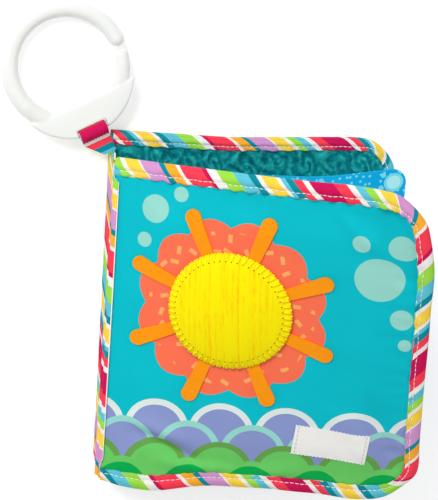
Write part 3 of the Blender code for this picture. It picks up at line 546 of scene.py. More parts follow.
def patch_top(u, y):
    """Height of the ribbed centre, dimpled by the stitches round it."""
    s = sizes()
    radius = from_centre(u, y)
    angle = np.arctan2(y - PATCH_CENTRE[1], u - PATCH_CENTRE[0])
    dome = PATCH_CROWN * np.maximum(1.0 - (radius / PATCH_RADIUS) ** 2, 0.0) ** PATCH_DOME_POWER
    broad = np.abs(np.sin(math.pi * (u - PATCH_CENTRE[0] + WALE_START) / s.wale))
    fine = np.abs(np.sin(math.pi * u / s.rib))
    inside = smooth(PATCH_RADIUS, PATCH_RADIUS - 5.0 * MM, radius)
    ribs = (0.5 * MM * broad ** 0.6 + 0.06 * MM * fine) * inside
    pull = 0.35 * MM * np.cos(WHIP_COUNT * angle) * smooth(PATCH_RADIUS - 6.0 * MM, PATCH_RADIUS, radius)
    return PATCH_SEAT + 0.3 * MM + dome + ribs + pull


def level(height):
    return lambda u, y: height + 0.0 * u


# Meshes

def arc(centre, radius, start, end, steps):
    """Points round an arc, both ends included."""
    angles = [start + (end - start) * i / steps for i in range(steps + 1)]
    return [(centre[0] + radius * math.cos(a), centre[1] + radius * math.sin(a)) for a in angles]


def leaf_outline(inset, spine_inset, top_inset=0.0, radius=CORNER_RADIUS):
    """A leaf's flat outline, anticlockwise from the bottom of its spine edge."""
    fore, low, high = LEAF_WIDTH - inset, BOTTOM + inset, TOP - inset - top_inset
    r = radius - inset
    return [
        (spine_inset, low),
        *arc((fore - r, low + r), r, -math.pi / 2, 0.0, 16),
        *arc((fore - r, high - r), r, 0.0, math.pi / 2, 16),
        (spine_inset, high),
    ]


def way_along(path):
    """How far each point of an open path lies along it."""
    return np.concatenate([[0.0], np.cumsum(np.linalg.norm(np.diff(np.asarray(path), axis=0), axis=1))])


def filled(outline, cell):
    """Flat points and triangles that fill an outline evenly."""
    border = []
    for start, end in zip(outline, outline[1:] + outline[:1]):
        count = max(1, round(math.dist(start, end) / cell))
        border += [tuple(a + (b - a) * i / count for a, b in zip(start, end)) for i in range(count)]
    border = np.array(border)
    low, high = border.min(axis=0), border.max(axis=0)
    u, y = (axis.ravel() for axis in np.meshgrid(
        np.arange(low[0] + cell / 2, high[0], cell), np.arange(low[1] + cell / 2, high[1], cell)
    ))
    inside, nearest = np.zeros(len(u), bool), np.full(len(u), np.inf)
    for (a, b), (c, d) in zip(border, np.roll(border, -1, axis=0)):
        if b != d:
            inside ^= ((b > y) != (d > y)) & (u < (c - a) * (y - b) / (d - b) + a)
        along = np.clip(((u - a) * (c - a) + (y - b) * (d - b)) / ((c - a) ** 2 + (d - b) ** 2), 0.0, 1.0)
        nearest = np.minimum(nearest, np.hypot(u - a - along * (c - a), y - b - along * (d - b)))
    keep = inside & (nearest > 0.45 * cell)
    points = [Vector(p) for p in border] + [Vector(p) for p in zip(u[keep], y[keep])]
    loop = [(i, (i + 1) % len(border)) for i in range(len(border))]
    verts, _, faces, *_ = delaunay_2d_cdt(points, loop, [], 1, 1e-7)
    return np.array([tuple(v) for v in verts]), [tuple(face) for face in faces]


def new_piece(name, points, faces, layout, material):
    """An object from points and faces, smooth but for sharp edges, with its layout in metres as UV map."""
    mesh = bpy.data.meshes.new(name)
    mesh.from_pydata(np.asarray(points).tolist(), [], faces)
    if layout is not None:
        uv = mesh.uv_layers.new(name="layout")
        corners = np.zeros(len(mesh.loops), np.int32)
        mesh.loops.foreach_get("vertex_index", corners)
        uv.data.foreach_set("uv", np.asarray(layout, np.float32)[corners].ravel())
    mesh.materials.append(material)
    mesh.shade_smooth()
    mesh.set_sharp_from_angle(angle=SHARP_EDGE)
    item = bpy.data.objects.new(name, mesh)
    bpy.context.scene.collection.objects.link(item)
    return item


def slab(name, outline, cell, lower, upper, place, material, centre=(0.0, 0.0)):
    """A cloth over a flat outline, between two heights, bent to its place."""
    flat, top = filled(outline, cell)
    u, y = flat[:, 0], flat[:, 1]
    points = np.concatenate([place(u, y, upper(u, y)), place(u, y, lower(u, y))])
    count = len(flat)
    edges = {(face[i], face[(i + 1) % len(face)]) for face in top for i in range(len(face))}
    rim = [edge for edge in edges if (edge[1], edge[0]) not in edges]
    bottom = [tuple(i + count for i in reversed(face)) for face in top]
    sides = [(a + count, b + count, b, a) for a, b in sorted(rim)]
    return new_piece(name, points, top + bottom + sides, np.tile(flat, (2, 1)) - np.array(centre), material)


def band(name, sections, layout, material):
    """A closed band through like rings of places."""
    sections = np.asarray(sections)
    count, ring = sections.shape[:2]
    faces = [
        (i * ring + j, i * ring + (j + 1) % ring, (i + 1) * ring + (j + 1) % ring, (i + 1) * ring + j)
        for i in range(count - 1)
        for j in range(ring)
    ]
    faces += [tuple(reversed(range(ring))), tuple((count - 1) * ring + j for j in range(ring))]
    flat = None if layout is None else np.asarray(layout).reshape(-1, 2)
    item = new_piece(name, sections.reshape(-1, 3), faces, flat, material)
    bm = bmesh.new()
    bm.from_mesh(item.data)
    bmesh.ops.recalc_face_normals(bm, faces=bm.faces[:])
    bm.to_mesh(item.data)
    bm.free()
    return item


def declare(piece, body, slot, *nodes):
    """Says which body a piece rides on and which solids it stands for; its slot is not used."""
    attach(piece, body)
    if nodes:
        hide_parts(*nodes)
    return piece


def threads(name, runs, radius, material, body, slot, sides=6):
    """Stitches as short rounded threads, each along its own points in space."""
    points, faces = [], []
    for run in runs:
        run = np.asarray(run)
        along = np.gradient(run, axis=0)
        along /= np.linalg.norm(along, axis=1)[:, None]
        side = np.cross(along, (0.31, 0.23, 0.92))
        side /= np.linalg.norm(side, axis=1)[:, None]
        over = np.cross(side, along)
        base = len(points)
        for i, place in enumerate(run):
            share = math.sin(math.pi * (i + 0.35) / (len(run) - 0.3)) ** 0.35
            for turn in (2 * math.pi * j / sides for j in range(sides)):
                points.append(place + radius * share * (math.cos(turn) * side[i] + math.sin(turn) * over[i]))
        for start in range(base, base + (len(run) - 1) * sides, sides):
            for j in range(sides):
                a, b = start + j, start + (j + 1) % sides
                faces.append((a, b, b + sides, a + sides))
        last = base + (len(run) - 1) * sides
        faces += [tuple(reversed(range(base, base + sides))), tuple(range(last, last + sides))]
    return declare(new_piece(name, points, faces, None, material), body, slot)


# Materials. Cotton, felt and pile keep a weak specular level, as soft fibres do. A noise's scale counts its
# swells to the metre: 22 makes them 45 mm wide, and 380 makes them 2.6 mm.

FIBRE = {"specular_ior_level": 0.12}


def feed(tree, socket, source):
    """Links a socket to a node or to a node's output, or sets its value."""
    if isinstance(source, bpy.types.Node):
        source = next(output for output in source.outputs if output.enabled)
    if isinstance(source, bpy.types.NodeSocket):
        tree.links.new(source, socket)
    else:
        socket.default_value = source


def add(tree, kind, inputs=(), **settings):
    """A node with its settings and what feeds its inputs: by their names, or in the live ones' order."""
    node = tree.nodes.new("ShaderNode" + kind)
    for name, value in settings.items():
        setattr(node, name, value)
    if not isinstance(inputs, dict):
        inputs = dict(zip((socket.identifier for socket in node.inputs if socket.enabled), inputs))
    for name, source in inputs.items():
        found = [socket for socket in node.inputs if name in (socket.identifier, socket.name)]
        feed(tree, found[0], source)
    return node


def dress(tree, shader, **sources):
    """Feeds the shader's sockets, which are named in small letters."""
    for name, source in sources.items():
        feed(tree, shader.inputs[name.replace("_", " ").title().replace("Ior", "IOR")], source)


def new_finish(name, **values):
    """A material, its tree and its shader, with the values that are the same all over it."""
    material = bpy.data.materials.new(name)
    material.use_nodes = True
    shader = material.node_tree.nodes["Principled BSDF"]
    dress(material.node_tree, shader, **values)
    return material, material.node_tree, shader


def layout_of(tree):
    """The layout's sockets: the place itself and its two measures."""
    place = add(tree, "UVMap", uv_map="layout")
    split = add(tree, "SeparateXYZ", [place])
    return place, split.outputs["X"], split.outputs["Y"]


def woven(tree, place, depth, strength=0.3):
    """Threads over and under each other, and the slight unevenness, in swells of 2.6 mm, of washed cloth."""
    turn = 2 * math.pi / sizes().weave
    scaled = add(tree, "VectorMath", [place, (turn, turn, 0.0)], operation="MULTIPLY")
    split = add(tree, "SeparateXYZ", [add(tree, "VectorMath", [scaled], operation="SINE")])
    cross = add(tree, "Math", [split.outputs["X"], split.outputs["Y"]], operation="MULTIPLY")
    cloudy = add(tree, "TexNoise", {"Vector": place, "Scale": 380.0, "Detail": 3.0})
    height = add(tree, "Math", [cloudy, 2.0, cross], operation="MULTIPLY_ADD")
    return add(tree, "Bump", {"Height": height, "Distance": depth, "Strength": strength})


def washed(tree, colour, place, amount=0.05, scale=45.0):
    """The colour, a little lighter and darker in soft patches, of 22 mm on dyed cotton."""
    cloudy = add(tree, "TexNoise", {"Vector": place, "Scale": scale, "Detail": 4.0})
    value = add(tree, "MapRange", {"Value": cloudy, "To Min": 1.0 - amount, "To Max": 1.0 + amount})
    return add(tree, "HueSaturation", {"Color": colour, "Value": value})


def ridges(tree, measure, spacing, start=0.0):
    """Ridges of this spacing along a measure: 1 on their crests and 0 in their valleys."""
    turn = math.pi / spacing
    turns = add(tree, "Math", [measure, turn, turn * start], operation="MULTIPLY_ADD")
    return add(tree, "Math", [add(tree, "Math", [turns], operation="SINE")], operation="ABSOLUTE")


def painted_within(tree, colour, away, reaches):
    """The colour, with paint laid over it wherever away is less than a reach."""
    for reach, paint in reaches:
        mask = add(tree, "Math", [away, reach], operation="LESS_THAN")
        colour = add(tree, "Mix", [mask, colour, getattr(colours(), paint)], data_type="RGBA")
    return colour


@cache
def striped_tape():
    # Printed cotton tape, cut on the bias and folded: matt, with crisp stripes that lean across it
    material, tree, shader = new_finish("printed cotton bias tape", roughness=0.82, **FIBRE)
    place, along, across = layout_of(tree)
    s = sizes()
    wavy = add(tree, "TexNoise", {"Vector": place, "Scale": 90.0})
    shifted = add(tree, "Math", [across, -s.stripe_lean, along], operation="MULTIPLY_ADD")
    uneven = add(tree, "Math", [wavy, 0.3 * MM, shifted], operation="MULTIPLY_ADD")
    turns = add(tree, "Math", [uneven, s.stripe_repeat], operation="DIVIDE")
    ramp = add(tree, "ValToRGB", [add(tree, "Math", [turns], operation="FRACT")])
    stops = ramp.color_ramp.elements
    ramp.color_ramp.interpolation = "CONSTANT"
    total, at = sum(width for _, width in STRIPES), 0.0
    for i, (name, width) in enumerate(STRIPES):
        last = i == len(STRIPES) - 1
        stop = stops[-1] if last else stops.new(at / total) if i else stops[0]
        stop.position, stop.color = at / total, getattr(colours(), name)
        at += width
    dress(tree, shader, base_color=washed(tree, ramp, place), normal=woven(tree, place, 0.12 * MM, 0.35))
    return material


@cache
def printed_poplin():
    # Cotton poplin with a flat screen print: matt, strong even colours with crisp edges
    material, tree, shader = new_finish("printed cotton poplin", roughness=0.8, **FIBRE)
    place, u, y = layout_of(tree)
    s = sizes()
    colour = colours().ground
    for at_u, at_y, radius in BUBBLES:
        away = add(tree, "VectorMath", [place, (at_u, at_y, 0.0)], operation="DISTANCE")
        colour = painted_within(tree, colour, away, [(radius, "bubble")])
    for centre_y, shift, fill, rim in SCALLOPS:
        moved = add(tree, "Math", [u, shift], operation="ADD")
        aside = add(tree, "Math", [moved, SCALLOP_RADIUS], operation="PINGPONG")
        rise = add(tree, "Math", [y, centre_y], operation="SUBTRACT")
        above = add(tree, "Math", [rise, 0.0], operation="MAXIMUM")
        away = add(tree, "VectorMath", [add(tree, "CombineXYZ", [aside, above])], operation="LENGTH")
        rings = [(SCALLOP_RADIUS, rim), (SCALLOP_RADIUS * SCALLOP_FILL, fill)]
        colour = painted_within(tree, colour, away, rings)
    local = add(tree, "VectorMath", [place, (*PATCH_CENTRE, 0.0)], operation="SUBTRACT")
    split = add(tree, "SeparateXYZ", [local])
    angle = add(tree, "Math", [split.outputs["Y"], split.outputs["X"]], operation="ARCTAN2")
    bulge = ridges(tree, angle, 2 * math.pi / s.lobes)
    edge = add(tree, "Math", [bulge, LOBE_RISE, s.flower_radius - 2.5 * MM], operation="MULTIPLY_ADD")
    away = add(tree, "VectorMath", [local], operation="LENGTH")
    colour = painted_within(tree, colour, away, [(edge, "flower")])
    spots = add(
        tree, "TexVoronoi", {"Vector": place, "Scale": 1.0 / CONFETTI_SPACING, "Randomness": 0.5},
        voronoi_dimensions="2D",
    )
    from_spot = add(tree, "VectorMath", [place, spots.outputs["Position"]], operation="SUBTRACT")
    chance = add(tree, "SeparateColor", [spots.outputs["Color"]])
    turn = add(tree, "Math", [chance, math.pi], operation="MULTIPLY")
    turned = add(tree, "VectorRotate", {"Vector": from_spot, "Angle": turn}, rotation_type="Z_AXIS")
    split = add(tree, "SeparateXYZ", [add(tree, "VectorMath", [turned], operation="ABSOLUTE")])
    mask = add(tree, "Math", [away, s.flower_radius - 4.0 * MM], operation="LESS_THAN")
    for axis, half in zip("XY", CONFETTI):
        near = add(tree, "Math", [split.outputs[axis], half], operation="LESS_THAN")
        mask = add(tree, "Math", [mask, near], operation="MULTIPLY")
    colour = add(tree, "Mix", [mask, colour, colours().confetti], data_type="RGBA")
    dress(tree, shader, base_color=washed(tree, colour, place), normal=woven(tree, place, 0.1 * MM))
    return material


@cache
def plain_poplin(name, colour):
    # Plain dyed cotton poplin: matt and even, with a fine weave
    material, tree, shader = new_finish(name, roughness=0.82, sheen_weight=0.1)
    place, _, _ = layout_of(tree)
    paint = washed(tree, getattr(colours(), colour), place)
    dress(tree, shader, base_color=paint, normal=woven(tree, place, 0.1 * MM))
    return material


@cache
def dotted_poplin():
    # Cotton poplin printed with dots: matt, a bright ground that pales in soft patches, paler round dots
    material, tree, shader = new_finish("dotted cotton poplin", roughness=0.8, **FIBRE)
    place, _, _ = layout_of(tree)
    c = colours()
    cloudy = add(tree, "TexNoise", {"Vector": place, "Scale": 22.0, "Detail": 2.0})
    colour = add(tree, "Mix", [cloudy, c.page, c.page_light], data_type="RGBA")
    for spacing, share in PAGE_DOTS:
        spread = {"Vector": place, "Scale": 1.0 / spacing, "Randomness": 0.7}
        away = add(tree, "TexVoronoi", spread, voronoi_dimensions="2D")
        colour = painted_within(tree, colour, away, [(share, "page_dot")])
    for at_u, at_y, radius in PAGE_SPOTS:
        away = add(tree, "VectorMath", [place, (at_u, at_y, 0.0)], operation="DISTANCE")
        rings = [(radius, "page_dot"), (PAGE_SPOT_FILL * radius, "page_spot")]
        colour = painted_within(tree, colour, away, rings)
    dress(tree, shader, base_color=washed(tree, colour, place), normal=woven(tree, place, 0.1 * MM))
    return material


@cache
def embossed_plush():
    # Short polyester plush: a soft pile with random pale and dark patches in its nap, painted highlight on
    # the ridges of its swirls and painted shade in their furrows.
    # Its tufts are 3 mm wide and its pile 0.7 mm, about twice as coarse as the real one, so that it shows.
    material, tree, shader = new_finish("embossed polyester plush", roughness=0.9, **FIBRE)
    place, _, _ = layout_of(tree)
    c = colours()
    # The swirl pattern, 1 on the ridges and 0 in the furrows, paints highlight on the ridges and shade in the
    # furrows
    pressed = add(tree, "Attribute", attribute_name="pressed").outputs["Fac"]
    nap = add(tree, "TexNoise", {"Vector": place, "Scale": 330.0, "Detail": 6.0, "Distortion": 0.8})
    ramp = add(tree, "ValToRGB", [add(tree, "Math", [nap, 0.9, pressed], operation="MULTIPLY_ADD")])
    low, high = ramp.color_ramp.elements
    low.position, low.color = 0.36, c.plush_pressed
    high.position, high.color = 0.86, c.plush_pale
    ramp.color_ramp.elements.new(0.58).color = c.plush
    pile = add(tree, "TexNoise", {"Vector": place, "Scale": 1500.0, "Detail": 2.0})
    height = add(tree, "Math", [nap, 1.6, pile], operation="MULTIPLY_ADD")
    bump = add(tree, "Bump", {"Height": height, "Distance": 0.5 * MM, "Strength": 0.7})
    dress(tree, shader, base_color=ramp, normal=bump)
    return material


@cache
def craft_felt():
    # Pressed polyester felt: dead matt, with short tangled fibres, drawn 0.9 mm apart so that they show
    material, tree, shader = new_finish("pressed polyester felt", roughness=1.0, **FIBRE)
    place, _, _ = layout_of(tree)
    fibres = add(tree, "TexNoise", {"Vector": place, "Scale": 1100.0, "Detail": 5.0, "Distortion": 1.2})
    bump = add(tree, "Bump", {"Height": fibres, "Distance": 0.25 * MM, "Strength": 0.5})
    dress(tree, shader, base_color=washed(tree, colours().felt, place, 0.07, 300.0), normal=bump)
    return material


@cache
def ribbed_pile():
    # Ribbed pile cloth: matt velvety streaks along its ribs, with painted golden shade in the ribs' valleys,
    # and painted shade in the needle holes.
    # The streaks are 1.1 and 6 mm wide, and about five times as long.
    material, tree, shader = new_finish("ribbed pile cloth", roughness=0.92, **FIBRE)
    place, u, y = layout_of(tree)
    c, s = colours(), sizes()
    streaky = add(tree, "VectorMath", [place, (1.0, 0.22, 1.0)], operation="MULTIPLY")
    pile = add(tree, "TexNoise", {"Vector": streaky, "Scale": 900.0, "Detail": 4.0, "Distortion": 0.4})
    shade = add(tree, "TexNoise", {"Vector": streaky, "Scale": 160.0, "Detail": 2.0})
    # Painted shade: the fine and broad ribs' valleys lower the tone, which darkens the pile towards its
    # shaded colour there
    rows = add(tree, "Math", [ridges(tree, u, s.rib), 0.25, pile], operation="MULTIPLY_ADD")
    streaks = add(tree, "Math", [shade, rows], operation="ADD")
    broad = ridges(tree, u, s.wale, WALE_START)
    crest = add(tree, "Math", [broad, 4.0], operation="MULTIPLY", use_clamp=True)
    tone = add(tree, "Math", [crest, 0.28, streaks], operation="MULTIPLY_ADD")
    ramp = add(tree, "ValToRGB", [add(tree, "Math", [tone, 0.5], operation="MULTIPLY")])
    low, high = ramp.color_ramp.elements
    low.position, low.color = 0.48, c.centre_deep
    high.position, high.color = 0.72, c.centre
    angle = add(tree, "Math", [y, u], operation="ARCTAN2")
    radius = add(tree, "VectorMath", [place], operation="LENGTH")
    turns = add(tree, "Math", [angle, WHIP_COUNT / (2 * math.pi)], operation="MULTIPLY")
    step = add(tree, "Math", [turns, 0.5], operation="PINGPONG")
    along = add(tree, "Math", [step, 2 * math.pi * HOLE_RADIUS / WHIP_COUNT], operation="MULTIPLY")
    aside = add(tree, "Math", [radius, HOLE_RADIUS], operation="SUBTRACT")
    away = add(tree, "VectorMath", [add(tree, "CombineXYZ", [along, aside])], operation="LENGTH")
    bump = add(tree, "Bump", {"Height": tone, "Distance": 0.35 * MM, "Strength": 0.4})
    # Painted shade: a dark dot at each needle hole round the centre
    paint = painted_within(tree, ramp, away, [(NEEDLE_HOLE, "needle_hole_shade")])
    dress(tree, shader, base_color=paint, normal=bump)
    return material


@cache
def woven_tape():
    # Woven polyester label: a smooth fine weave with a soft shine
    material, tree, shader = new_finish("woven polyester label", roughness=0.6, **FIBRE)
    place, _, _ = layout_of(tree)
    paint = washed(tree, colours().label, place, 0.03, 200.0)
    dress(tree, shader, base_color=paint, normal=woven(tree, place, 0.12 * MM, 0.5))
    return material


@cache
def sewing_thread(name, colour):
    # Spun polyester thread: a soft shine on a fine twist of 0.4 mm
    material, tree, shader = new_finish(
        name, roughness=0.6, specular_ior_level=0.3, base_color=getattr(colours(), colour)
    )
    twist = add(tree, "TexNoise", {"Scale": 2500.0, "Detail": 2.0})
    dress(tree, shader, normal=add(tree, "Bump", {"Height": twist, "Distance": 0.1 * MM, "Strength": 0.4}))
    return material


@cache
def moulded_plastic():
    # Injection-moulded polypropylene: white and glossy, with a faint ripple, 17 mm wide, from the mould
    material, tree, shader = new_finish(
        "moulded polypropylene", base_color=colours().ring, roughness=0.24, ior=1.49, coat_weight=0.25,
        subsurface_weight=0.15, subsurface_scale=1.5 * MM,
    )
    at = add(tree, "TexCoord").outputs["Object"]
    ripple = add(tree, "TexNoise", {"Vector": at, "Scale": 60.0, "Detail": 1.0})
    dress(tree, shader, normal=add(tree, "Bump", {"Height": ripple, "Distance": 0.4 * MM, "Strength": 0.15}))
    return material


# Covers and their bindings

Stop = namedtuple("Stop", "u y out_u out_y run")


def binding_stops():
    """Places and outward directions round a cover's three bound edges, from the spine along the bottom."""
    r, inner_u = CORNER_RADIUS, LEAF_WIDTH - CORNER_RADIUS
    length = inner_u - SPINE_SEAM
    low, high = BOTTOM + r, TOP - r
    straight, rise = round(length / BINDING_STEP), round((high - low) / BINDING_STEP)
    turns = max(6, round(r * math.pi / 2 / BINDING_STEP))
    stops = [Stop(SPINE_SEAM + length * i / straight, BOTTOM, 0.0, -1.0, 0.0) for i in range(straight)]
    for y, start in ((low, -math.pi / 2), (high, 0.0)):
        for a in (start + math.pi / 2 * i / turns for i in range(turns)):
            stops.append(Stop(inner_u + r * math.cos(a), y + r * math.sin(a), math.cos(a), math.sin(a), 0.0))
        if y == low:
            stops += [Stop(LEAF_WIDTH, low + (high - low) * i / rise, 1.0, 0.0, 0.0) for i in range(rise)]
    stops += [Stop(inner_u - length * i / straight, TOP, 0.0, 1.0, 0.0) for i in range(straight + 1)]
    runs = way_along([(stop.u, stop.y) for stop in stops])
    return [stop._replace(run=float(run)) for stop, run in zip(stops, runs)]


def stop_at(stops, run):
    """The place on the binding's path at this way along it."""
    i = int(np.clip(np.searchsorted([stop.run for stop in stops], run), 1, len(stops) - 1))
    before, after = stops[i - 1], stops[i]
    share = (run - before.run) / (after.run - before.run)
    return Stop(*(a + (b - a) * share for a, b in zip(before, after)))


def binding_profile(low, high):
    """The folded binding's contour from its front edge round to its back edge: how far in, and how high."""
    half, mid = (high - low) / 2, (high + low) / 2
    swell, dent, lip = 0.25 * MM, 0.35 * MM, BINDING_LIP
    seam = lip - sizes().stitch_inset
    nose = seam - 1.4 * MM
    upper = [
        (lip, half - 0.55 * MM), (lip - 0.25 * MM, half - 0.1 * MM), (lip - 0.9 * MM, half),
        (seam + 0.5 * MM, half - 0.1 * MM), (seam, half - dent), (seam - 0.6 * MM, half - 0.1 * MM),
    ]
    for turn in np.linspace(0.0, math.pi / 2, 9):
        upper.append((nose * (1.0 - math.sin(turn)), (half + swell) * math.cos(turn)))
    contour = upper + [(inward, -height) for inward, height in reversed(upper[:-1])]
    return [(inward, mid + height) for inward, height in contour]


def make_binding(prefix, edge, place, body, tape_start, direction, seed, narrowed):
    """The striped binding of a cover, folded over its edge and sewn through, with its stitches."""
    s = sizes()
    low, high = edge[0] - CLEARANCE, edge[1] + CLEARANCE
    stops, profile = binding_stops(), binding_profile(low - BINDING_CLOTH, high + BINDING_CLOTH)
    inner = [(BINDING_LIP, low), (BINDING_CLOTH, low), (BINDING_CLOTH, high), (BINDING_LIP, high)]
    total, mid = stops[-1].run, (low + high) / 2

    def lifted(stop, inward, height, outer):
        phase = 2 * math.pi * stop.run / s.pucker_length + unevenness(stop.run, 0.0, 40.0 * MM, seed)
        stray = 0.3 * MM * unevenness(stop.run, 0.0, 22.0 * MM, seed + 1)
        near_lip = smooth(BINDING_LIP - 4.0 * MM, BINDING_LIP, inward)
        wavy = (0.35 * MM * math.sin(phase + 1.0) + stray) * near_lip
        width = 1.0 - narrowed[0] * stop.out_u ** 2 - narrowed[1] * stop.out_y ** 2
        inward = (inward + wavy * outer) * width
        sink = s.pucker * math.sin(phase) * outer * smooth(0.0, BINDING_LIP, inward)
        height += sink if height > mid else -sink
        return stop.u - stop.out_u * inward, stop.y - stop.out_y * inward, height

    sections, layout = [], []
    across = way_along(profile)
    for stop in stops:
        ring = [lifted(stop, *point, 1.0) for point in profile]
        ring += [lifted(stop, *point, 0.0) for point in inner]
        sections.append(place(*np.array(ring).T))
        along = tape_start + direction * (total - stop.run)
        layout.append([(along, direction * (BINDING_LIP - v)) for v in across] + [(along, 0.0)] * len(inner))
    binding = band(f"{prefix}_binding", sections, layout, striped_tape())
    declare(binding, body, "striped_cotton", f"{prefix}_binding")
    runs = []
    sunk = BINDING_CLOTH - 0.25 * MM
    for side, height in ((1.0, high + sunk), (-1.0, low - sunk)):
        at = 2.0 * MM
        while at < total - 3.0 * MM:
            line = []
            for i in range(5):
                bow = math.sin(math.pi * i / 4) * STITCH_BOW * side
                stop = stop_at(stops, at + (s.stitch - s.stitch_gap) * i / 4)
                line.append(lifted(stop, BINDING_LIP - s.stitch_inset, height + bow, 1.0))
            runs.append(place(*np.array(line).T))
            at += s.stitch
    white = sewing_thread("white thread", "thread")
    threads(f"{prefix}_stitches", runs, s.thread_radius, white, body, "striped_cotton")


class BOOK_OT_front_cover(Operator):
    """Makes the front cover: its padded printed face, its lining, and the striped binding round both."""
    bl_idname = "cloth_book.front_cover"
    bl_label = "Front cover"

    def execute(self, context):
        cloth = leaf_outline(CLOTH_INSET, SPINE_SEAM + CLEARANCE)
        floor = FRONT_EDGE[0]
        pad = slab(
            "front_cover_pad", cloth, sizes().cell, level(floor + 1.0 * MM), cover_face, cover_place,
            printed_poplin(),
        )
        nodes = ("front_cover_cloth", "front_cover_wadding", "front_cover_crinkle_film")
        declare(pad, "front_cover", "printed_cotton", *nodes)
        poplin = plain_poplin("lining cotton poplin", "lining")
        lining = slab(
            "front_cover_lining", cloth, LINING_CELL, lining_face, level(floor + 0.7 * MM), cover_place,
            poplin,
        )
        declare(lining, "front_cover", "lining_cotton", "front_cover_lining")
        make_binding(
            "front_cover", FRONT_EDGE, cover_place, "front_cover", FRONT_TAPE, 1.0, 11, FRONT_NARROWED
        )
        return {"FINISHED"}


class BOOK_OT_back_cover(Operator):
    """Makes the back cover: its padded cloth, its embossed plush page and its striped binding."""
    bl_idname = "cloth_book.back_cover"
    bl_label = "Back cover"

    def execute(self, context):
        cloth = leaf_outline(CLOTH_INSET, SPINE_SEAM + CLEARANCE)
        low, high = BACK_EDGE
        pad = slab(
            "back_cover_pad", cloth, LINING_CELL,
            lambda u, y: low * (1.0 - smooth(*PUFF, edge_distance(u, y))), level(high - 3.0 * MM), back_place,
            plain_poplin("teal cotton poplin", "ground"),
        )
        nodes = ("back_cover_cloth", "back_cover_wadding", "back_cover_crinkle_film")
        declare(pad, "root", "printed_cotton", *nodes)
        plush = slab(
            "back_cover_plush", cloth, PLUSH_CELL, level(high - 2.7 * MM), plush_face, back_place,
            embossed_plush(),
        )
        flat = filled(cloth, PLUSH_CELL)[0]
        # The swirl pattern is stored for the plush's painted highlight on its ridges and painted shade in its
        # furrows
        pressed = plush.data.attributes.new("pressed", "FLOAT", "POINT")
        pressed.data.foreach_set("value", np.tile(0.3 * plush_pattern(flat[:, 0], flat[:, 1]), 2))
        declare(plush, "root", "teal_plush", "back_cover_plush_page")
        make_binding("back_cover", BACK_EDGE, back_place, "root", BACK_TAPE, -1.0, 21, BACK_NARROWED_SHARES)
        return {"FINISHED"}


class BOOK_OT_inner_leaf(Operator):
    """Makes the two dotted cloths of the inner leaf."""
    bl_idname = "cloth_book.inner_leaf"
    bl_label = "Inner leaf"

    def execute(self, context):
        outline = leaf_outline(LEAF_INSET, 0.0, LEAF_TOP_INSET - LEAF_INSET, LEAF_CORNER_RADIUS)

        def waved(height):
            return lambda u, y: height + 0.25 * MM * unevenness(u, y, 30.0 * MM, seed=41)

        for name, low, high, nodes in (
            ("inner_leaf_back", -LEAF_HALF, -FILM_HALF, ("inner_leaf_back_cloth",)),
            ("inner_leaf_front", FILM_HALF, LEAF_HALF, ("inner_leaf_front_cloth", "inner_leaf_crinkle_film")),
        ):
            cloth = slab(name, outline, LEAF_CELL, waved(low), waved(high), leaf_place, dotted_poplin())
            declare(cloth, "inner_leaf", "dotted_cotton", *nodes)
        return {"FINISHED"}


# Spine strip

def evened(path, count, rounds):
    """The same open path through evenly spaced points, with its bends eased."""
    way = way_along(path)
    path = np.stack([np.interp(np.linspace(0.0, way[-1], count), way, axis) for axis in path.T], axis=1)
    for _ in range(rounds):
        path[1:-1] = 0.25 * path[:-2] + 0.5 * path[1:-1] + 0.25 * path[2:]
    return path


def strip_line(share):
    """The strip's path at one share of its length, from under the back cover up to the front cover's face."""
    back_y, front_y = mix(STRIP_BACK_ENDS, share), mix(STRIP_FRONT_ENDS, share)
    end = min(share, 1.0 - share) * (STRIP_FRONT_ENDS[1] - STRIP_FRONT_ENDS[0])
    free = float(smooth(BINDING_LIP - 0.5 * MM, BINDING_LIP + 1.5 * MM, end))
    x, axis_z = float(mix(SPINE_X, share_up(back_y))), float(mix(COVER_AXIS_Z, share))
    wall, lip = SPINE_SEAM - CLEARANCE - STRIP_HALF, FRONT_EDGE[1] + CLEARANCE + STRIP_HALF
    low_z = BACK_EDGE[0] - CLEARANCE - STRIP_HALF
    top_z = float(sheet_place(FRONT_COVER, wall, front_y, 0.0)[2])

    def at(x, z):
        return x, float(mix((back_y, front_y - COVER_DOWN), smooth(low_z, top_z, z))), z

    def flap_of(width):
        flap = STRIP_LEAST + (width - STRIP_LEAST) * free
        return flap, min(STRIP_TURN, 0.6 * flap)

    flap, turn = flap_of(STRIP_UNDER)
    low = [at(x + flap, low_z), at(x + turn, low_z), at(x, low_z + turn), at(x, LEAF_AXIS_Z)]
    middle = [at(x + 0.1 * MM, (LEAF_AXIS_Z + axis_z) / 2), at(x + mix(STRIP_BULGE, share), axis_z)]
    flap, turn = flap_of(mix(STRIP_OVER, share))
    cover = [(wall, -0.5 * MM), (wall, lip - turn), (wall + turn, lip), (wall + flap, lip)]
    placed = [sheet_place(FRONT_COVER, u, front_y, w) for u, w in cover]
    return low, middle, [tuple(float(value) for value in p) for p in placed]


